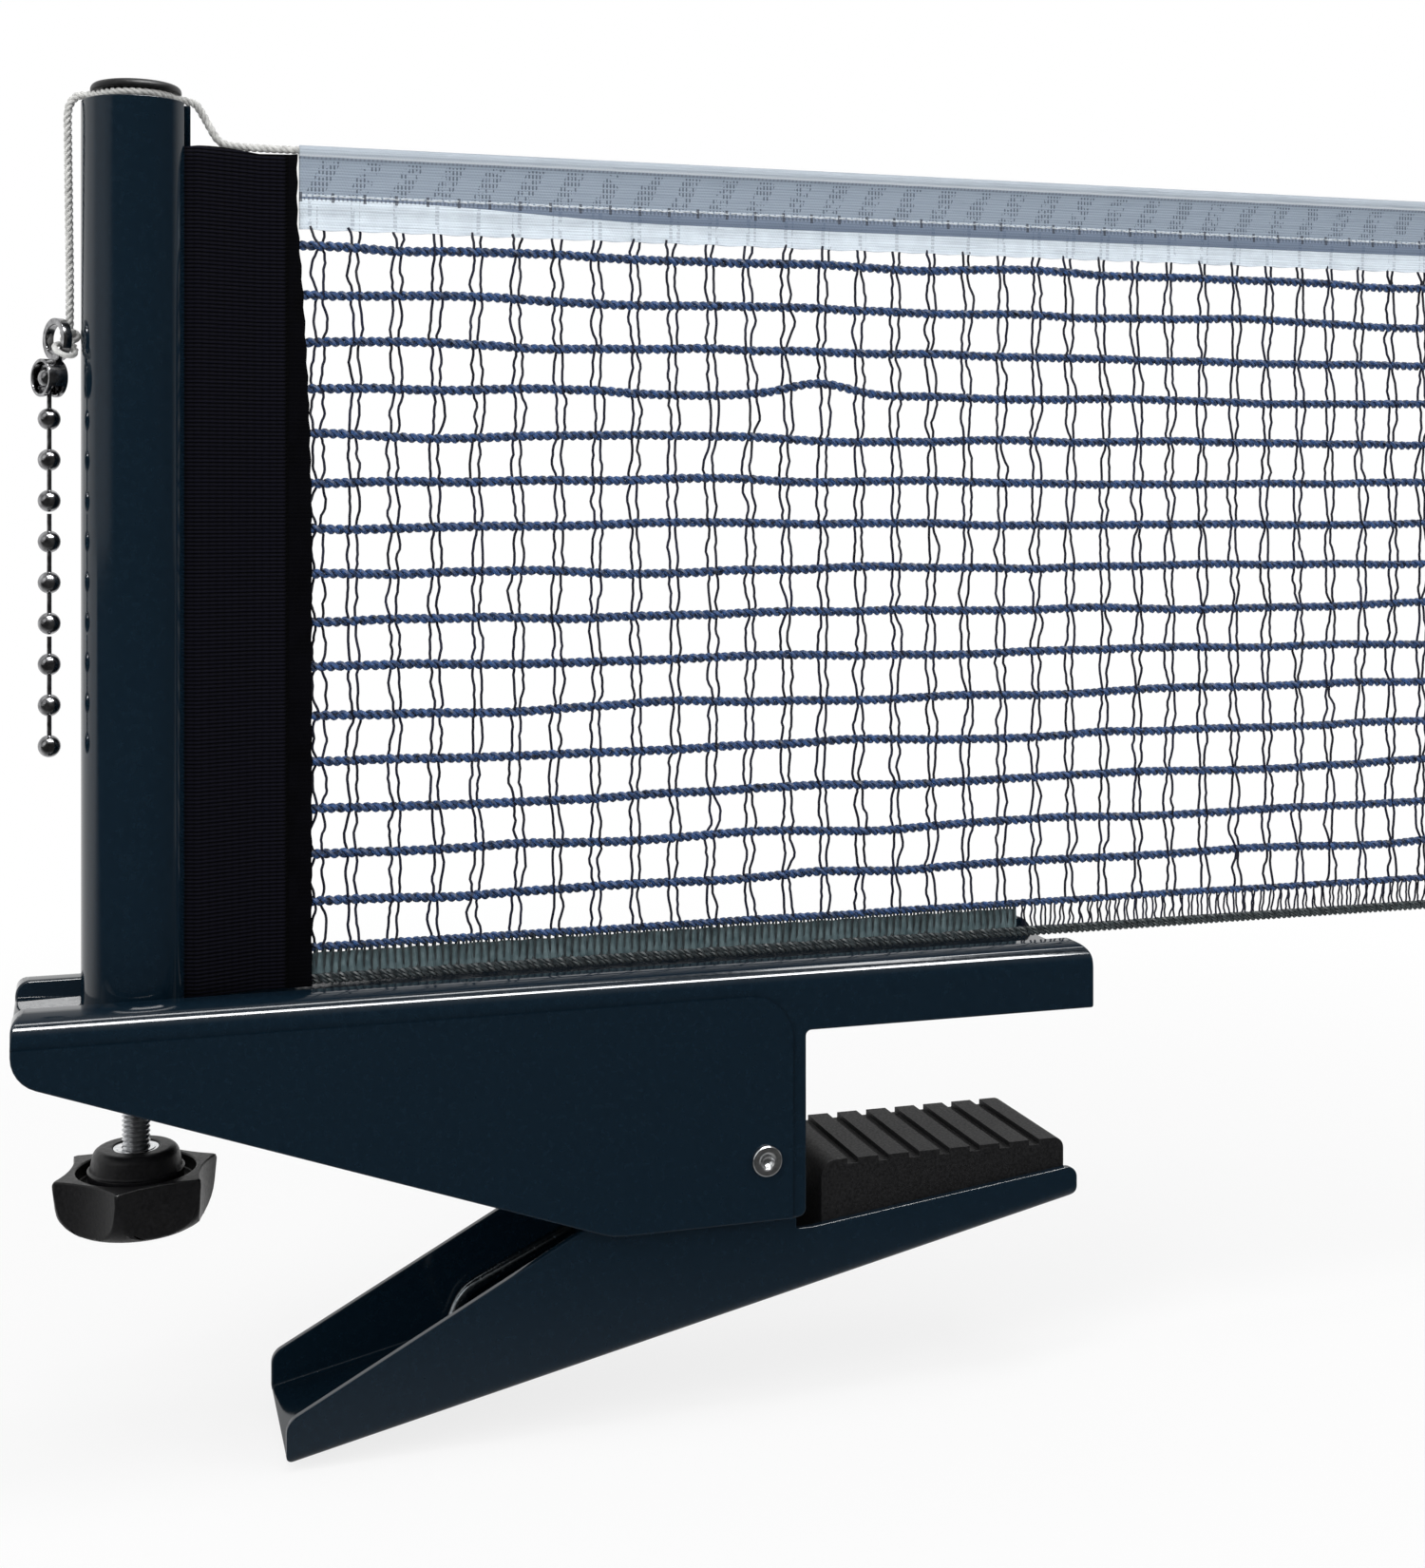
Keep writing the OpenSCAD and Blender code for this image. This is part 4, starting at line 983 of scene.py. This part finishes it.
def from_axis(distance):
    """A plan point on the slit's middle line, this far from the post's axis."""
    return Vector((AXIS + distance * math.cos(SLIT), distance * math.sin(SLIT)))


def band_outline(rod, mouth, bend, end):
    """Plan points round the rod and along both faces of the band."""
    centre = [rod, mouth, bend, end]
    lefts = []
    for i in range(4):
        t = (centre[min(i + 1, 3)] - centre[max(i - 1, 0)]).normalized()
        lefts.append(Vector((-t.y, t.x)))
    first = math.atan2((mouth - rod).y, (mouth - rod).x)
    arc = [first + math.radians(WRAP_OPEN + k * WRAP_TURN / WRAP_STEPS)
           for k in range(WRAP_STEPS + 1)]
    plan = [rod + WRAP * Vector((math.cos(a), math.sin(a))) for a in arc]

    def face(side):
        run = []
        for i in (1, 2):
            for t in (k / FACE_STEPS for k in range(FACE_STEPS)):
                run.append(centre[i].lerp(centre[i + 1], t)
                           + side * THICK / 2 * lefts[i].lerp(lefts[i + 1], t).normalized())
        return run + [end + side * THICK / 2 * THIN_END * lefts[3]]

    return plan + face(-1) + face(1)[::-1]


# %% Bands
BAND_LOW, BAND_TOP, BAND_STEPS = 10.2, 156.2, 120
NARROWS_FROM, NARROWS_OVER, PINCHED = 85.0, 60.0, 0.82
RIM_WIDTH, TOP_REACH = 8.0, 12.0
PAST_THE_END = 190.0  # an edge this far out leaves the far band straight


def band(name, node, outline, edge_x, narrow, top_wave, cloth):
    """Raises an outline. Towards edge_x it narrows by `narrow` at the top and wanders."""
    rings = []
    for k in range(BAND_STEPS + 1):
        z = BAND_LOW + (BAND_TOP - BAND_LOW) * k / BAND_STEPS
        ease = max(0.0, min(1.0, (z - NARROWS_FROM) / NARROWS_OVER))
        pinch = PINCHED if k in (0, BAND_STEPS) else 1.0
        ring = []
        for p in outline:
            grip = max(0.0, min(1.0, (p.x - edge_x + RIM_WIDTH) / RIM_WIDTH))
            x = p.x - grip * narrow * ease * ease + grip * 0.12 * math.sin(z * 1.3)
            lift = top_wave(p.x) * max(0.0, (z - BAND_TOP + TOP_REACH) / TOP_REACH)
            ring.append(Vector((x, p.y * pinch, z + lift)))
        rings.append(ring)
    return place_piece(piece(name, skin(rings), cloth, 50), node)


near_plan = band_outline(from_axis(ROD_OUT), from_axis(MOUTH_OUT), Vector((-95.57, 0)),
                         Vector((NEAR_EDGE, 0)))
near_band = band("near_band", "net_band", near_plan, NEAR_EDGE, 2.5,
                 lambda x: 0.35 * math.cos((x + 103.0) * 0.3), band_cloth)
far_rod = Vector((164.35, 0))
far_plan = [Vector((far_rod.x - (p.x - far_rod.x), p.y)) for p in
            band_outline(far_rod, Vector((169.0, 0)), Vector((176.0, 0)), Vector((182.7, 0)))]
far_band = band("far_net_band", "far_band", far_plan, PAST_THE_END, 0.0, lambda x: 0.0,
                far_band_cloth)

# %% [markdown]
# ## The selvedge
# Beside the band the net ends in one more pair of threads, which bow apart between the cords
# more than the rest. It could be drawn as a curve of its own, but it is only another pair, so
# the tree of the thread pairs makes it with a larger bow.

# %% Selvedge threads beside the band
grown("band_selvedge", "net_mesh", pair_tree, thread_navy, Count=1,
      First=(-85.1 * MM, 0.0, PAIR_LOW * MM), Step=(0.0, 0.0, 0.0),
      End=(0.0, 0.0, (PAIR_HIGH - PAIR_LOW) * MM), Points=220, Thread=0.00026,
      Spread=0.0004, Bow=0.0007, Wander=0.0016, Sway=0.0016,
      Row_Pitch=ROW_PITCH * MM, Row_Start=FIRST_ROW * MM)

# %% [markdown]
# ## The tension cord
# A twisted cord comes out of the tape, climbs over the post's rim, runs round the cap's neck and
# drops to the chain. A smooth tube with a rope bump would show a plain outline, and on a cord
# this near the eye the lay of the strands shows, so three strands are wound round the same route
# that the CAD gives.

# %% Cord
CORD = [(-86.45, 0, 157.1), (-90, 0, 157.1), (-95, 0, 157.1), (-99.5, 0, 157.2),
        (-101.7, 0, 157.7), (-102.8, 0, 158.8), (-103.8, -0.1, 160.5), (-104.9, -0.2, 162.4),
        (-106.2, -0.4, 164.1), (-108.3, -0.9, 164.5), (-109.8, -2.2, 164.5),
        (-110.94, -4.24, 164.5), (-113.21, -5.98, 164.5), (-116, -6.6, 164.5),
        (-118.79, -5.98, 164.5), (-121.06, -4.24, 164.5), (-122.6, -2.2, 164.5),
        (-124.1, -0.9, 164.5), (-125.7, -0.3, 164.35), (-126.8, 0, 163.1), (-127.2, 0, 161.2),
        (-127.2, 0, 157.9), (-127.1, 0.2, 150.17), (-127, 0.5, 142.03), (-126.9, 1, 133.89),
        (-126.9, 1.4, 127.78), (-126.9, 1.5, 123.6), (-126.6, 0.7, 122.4),
        (-126.25, -0.3, 121.4), (-126.1, -0.9, 120.9)]
STRANDS, STRAND_RADIUS, STRAND_OFF, LAY = 3, 0.4, 0.34, 3.4


def curve_through(points, step):
    """Points about `step` apart on a smooth curve through the given ones."""
    points = [Vector(p) for p in points]
    out = []
    for i in range(len(points) - 1):
        a, b = points[max(i - 1, 0)], points[i]
        c, d = points[i + 1], points[min(i + 2, len(points) - 1)]
        count = max(1, round((c - b).length / step))
        for t in (k / count for k in range(count)):
            out.append(0.5 * (2 * b + (c - a) * t + (2 * a - 5 * b + 4 * c - d) * t * t
                              + (3 * b - a - 3 * c + d) * t ** 3))
    return out + [points[-1]]


route = curve_through(CORD, 0.45)
strands = [skin(rings_along(route, STRAND_RADIUS, 7, phase=k * 2 * math.pi / STRANDS,
                            off=STRAND_OFF, lay=LAY)) for k in range(STRANDS)]
cord = place_piece(piece("tension_rope", join(strands), cord_yarn, 60), "tension_cord")

# %% [markdown]
# ## Knot and loop
# The cord's end is tied through the chain's eyelet. The knot is a trefoil, the simplest knot that
# a closed line can make, pulled tight; a ball would do from afar, but here the crossings show.
# The loop is a ring, turned to pass through the eye.

# %% Knot and loop through the eyelet
KNOT = Vector((-126.9, 1.5, 123.6))
KNOT_OUT, KNOT_SWING, KNOT_HIGH, KNOT_CORD, KNOT_STEPS = 0.95, 0.42, 0.75, 0.52, 120
trefoil = []
for k in range(KNOT_STEPS + 1):
    a = 2 * math.pi * k / KNOT_STEPS
    wide = KNOT_OUT + KNOT_SWING * math.cos(3 * a)
    trefoil.append(KNOT + Vector((wide * math.cos(2 * a), wide * math.sin(2 * a),
                                  KNOT_HIGH * math.sin(3 * a))))
knot = piece("cord_knot", skin(rings_along(trefoil, KNOT_CORD, 8)), cord_yarn, 60)
EYE = Vector((-128.9, 0.4, 122.9))
LOOP_RADIUS, LOOP_DROP, LOOP_CORD, LOOP_STEPS = 1.75, 3.1, 0.48, 48
turn_z = Matrix.Rotation(math.radians(30), 3, "Z")
turn_x = Matrix.Rotation(math.radians(37), 3, "X")
loop = [EYE + turn_z @ (turn_x @ Vector((LOOP_RADIUS * math.cos(a),
                                         -LOOP_DROP + LOOP_RADIUS * math.sin(a), 0)))
        for a in (2 * math.pi * k / LOOP_STEPS for k in range(LOOP_STEPS + 1))]
eye_loop = piece("eye_loop", skin(rings_along(loop, LOOP_CORD, 10)), cord_yarn, 60)
for obj in (knot, eye_loop):
    place_piece(obj, "tension_cord")

# %% [markdown]
# ## The ball chain
# Balls of pressed sheet are strung on short links. Each link could be a rod of its own, but the
# balls hide all the ends, so a line of points carries the balls and one thin rod stands for the
# links between them. The chain is three meshes, because it bends in three places, and each mesh
# can ride on only one body.

# %% Chain
g, given = new_tree("ball chain", Count=3, First=(0.0, 0.0, 0.0),
                    Step=(0.0, 0.0, -0.007), Ball=0.0019, Link=0.0004,
                    Link_Start=(0.0, 0.0, 0.0), Link_Length=0.01)
ball = g.node("GeometryNodeMeshUVSphere", {"Segments": 24, "Rings": 14, "Radius": given["Ball"]})
balls = in_a_row(g, given, ball.outputs[0])
links = g.node("GeometryNodeMeshCylinder", {"Vertices": 12, "Radius": given["Link"],
                                            "Depth": given["Link_Length"]})
link_at = g.node("GeometryNodeTransform", {"Geometry": links.outputs[0],
                                           "Translation": given["Link_Start"]})
chain_tree = close_tree(g, g.joined((balls, link_at.outputs[0])), given["Material"])

FIRST_BALL = Vector((-130.2, 0, 116.3))
BALL_PITCH, BALL_RADIUS, LINK_GAP = 6.94, 1.9, 0.3
for node, first, last in (("chain_upper", 0, 3), ("chain_middle", 4, 6), ("chain_lower", 7, 9)):
    top = FIRST_BALL.z - first * BALL_PITCH
    link_top = top if first == 0 else top + BALL_PITCH - BALL_RADIUS - LINK_GAP
    link_low = FIRST_BALL.z - last * BALL_PITCH
    grown(node + "_balls", node, chain_tree, dark_nickel, Count=last - first + 1,
          First=(FIRST_BALL.x * MM, 0.0, top * MM), Step=(0.0, 0.0, -BALL_PITCH * MM),
          Link_Start=(FIRST_BALL.x * MM, 0.0, (link_top + link_low) / 2 * MM),
          Link_Length=(link_top - link_low) * MM)

# %% [markdown]
# ## What is soft
# The net is open, so its flat area is that of its level cords alone.

# %% Cord and cloth
print("soft: 1 cord and 4 sheets")

# %% [markdown]
# ## The world
# Plain even light comes from all round. The backdrop is white to the camera. Glossy enamel takes
# its look from what it mirrors, so mirror rays see a studio of their own: white behind the
# object, dim in front of it, with some light overhead, a wall on the left and a soft window. All
# of that could be lamps and cards, but those would light the object too, and fades on a ray's
# direction show only in mirrors.

# %% World
DIM = 0.06  # how bright the studio in front of the object is, in mirrors
world = bpy.data.worlds.new("studio")
world.use_nodes = True
scene.world = world
graph = Graph(world.node_tree)
rays = graph.node("ShaderNodeLightPath").outputs
mirror = graph.math("MAXIMUM", rays["Is Glossy Ray"], rays["Is Transmission Ray"])
direction = graph.node("ShaderNodeTexCoord").outputs["Generated"]
towards = graph.split(direction)
behind = graph.fade(towards["Y"], -0.25, 0.3, DIM, 1.0)
overhead = graph.fade(towards["Z"], 0.3, 0.85, 0.0, 0.5)
left_wall = graph.fade(towards["X"], -0.68, -0.97, 0.0, 0.6)
facing = graph.node("ShaderNodeVectorMath", {0: direction, 1: (-0.75, -0.45, 0.485)},
                    operation="DOT_PRODUCT")
window = graph.fade(facing.outputs["Value"], 0.94, 0.965, 0.0, 1.0)
backdrop = graph.math("MAXIMUM", graph.math("MAXIMUM", behind, window),
                      graph.math("MAXIMUM", overhead, left_wall))
AMBIENT = 0.42
level = graph.node("ShaderNodeMix", {0: mirror, 2: AMBIENT, 3: backdrop}).outputs[0]
level = graph.math("MAXIMUM", level, rays["Is Camera Ray"])
background = world.node_tree.nodes["Background"]
world.node_tree.links.new(level, background.inputs["Strength"])
background.inputs["Color"].default_value = (1, 1, 1, 1)
print("ambient level:", AMBIENT)

# %% [markdown]
# ## The floor
# A pale floor takes the object's shadow. Seen from the camera it glows towards white further
# out, so that no horizon shows, and keeps a share of its own shading close by, where the shadow
# falls. In mirrors it is white behind the object and dim in front, like the world.

# %% Floor
FLOOR, REACH = -0.0681, 6.0
floor_mesh = bpy.data.meshes.new("floor")
floor_mesh.from_pydata([(-REACH, -REACH, FLOOR), (REACH, -REACH, FLOOR), (REACH, REACH, FLOOR),
                        (-REACH, REACH, FLOOR)], [], [(0, 1, 2, 3)])
floor_material = bpy.data.materials.new("pale floor")
floor_material.use_nodes = True
graph = Graph(floor_material.node_tree)
shader = floor_material.node_tree.nodes["Principled BSDF"]
shader.inputs["Base Color"].default_value = (0.86, 0.86, 0.86, 1)
shader.inputs["Roughness"].default_value = 0.9
rays = graph.node("ShaderNodeLightPath").outputs
mirror = graph.math("MAXIMUM", rays["Is Glossy Ray"], rays["Is Transmission Ray"])
place = graph.node("ShaderNodeTexCoord").outputs["Object"]
far_off = graph.node("ShaderNodeVectorMath", {0: place}, operation="LENGTH").outputs["Value"]
glow_share = graph.fade(far_off, 0.12, 0.5, 0.8, 1.0)
behind = graph.fade(graph.split(place)["Y"], -0.12, 0.15, DIM, 1.0)
strength = graph.math("MAXIMUM", rays["Is Camera Ray"], behind)
glow = graph.node("ShaderNodeEmission", {"Color": (1, 1, 1, 1), "Strength": strength})
mix = graph.node("ShaderNodeMixShader", {1: shader.outputs[0], 2: glow.outputs[0]})
share = graph.math("MAXIMUM", mirror, graph.math("MULTIPLY", rays["Is Camera Ray"], glow_share))
graph.tree.links.new(share, mix.inputs[0])
graph.tree.links.new(mix.outputs[0], floor_material.node_tree.nodes["Material Output"].inputs[0])
link("floor", floor_mesh, floor_material)
print("floor at", round(FLOOR / MM, 1), "mm")

# %% [markdown]
# ## The lamps
# A broad key lamp on the left gives the form its shading, a fill on the right opens the shadows,
# and a long thin lamp above picks out the arm's folds. Key and fill are kept out of mirrors, in
# which they would be bright panels. The strip, above and in front, is the reverse: it lights
# no surface, and only draws a soft line along round edges.


# %% Lamps
def lamp(name, place, aim, size, power, in_mirrors):
    data = bpy.data.lights.new(name, "AREA")
    data.shape = "RECTANGLE"
    data.size, data.size_y = size
    data.energy = power
    obj = bpy.data.objects.new(name, data)
    obj.location = place
    direction = Vector(aim) - Vector(place)
    obj.rotation_euler = direction.to_track_quat("-Z", "Y").to_euler()
    obj.visible_glossy = in_mirrors
    scene.collection.objects.link(obj)
    return obj


lamp("key", place=(-0.7, -0.55, 0.55), aim=(-0.02, 0, 0.04), size=(0.55, 0.9), power=5.5,
     in_mirrors=False)
lamp("top", place=(0.05, -0.12, 0.85), aim=(0, 0, 0), size=(1.0, 0.07), power=3.2,
     in_mirrors=True)
lamp("fill", place=(0.75, -0.6, 0.3), aim=(0, 0, 0.05), size=(0.5, 0.5), power=2.2,
     in_mirrors=False)
strip = lamp("strip", place=(0.2, -0.62, 1.1), aim=(0, 0, 0), size=(0.9, 0.2), power=28.0,
             in_mirrors=True)
strip.visible_diffuse = False
scene.view_settings.view_transform = "Standard"
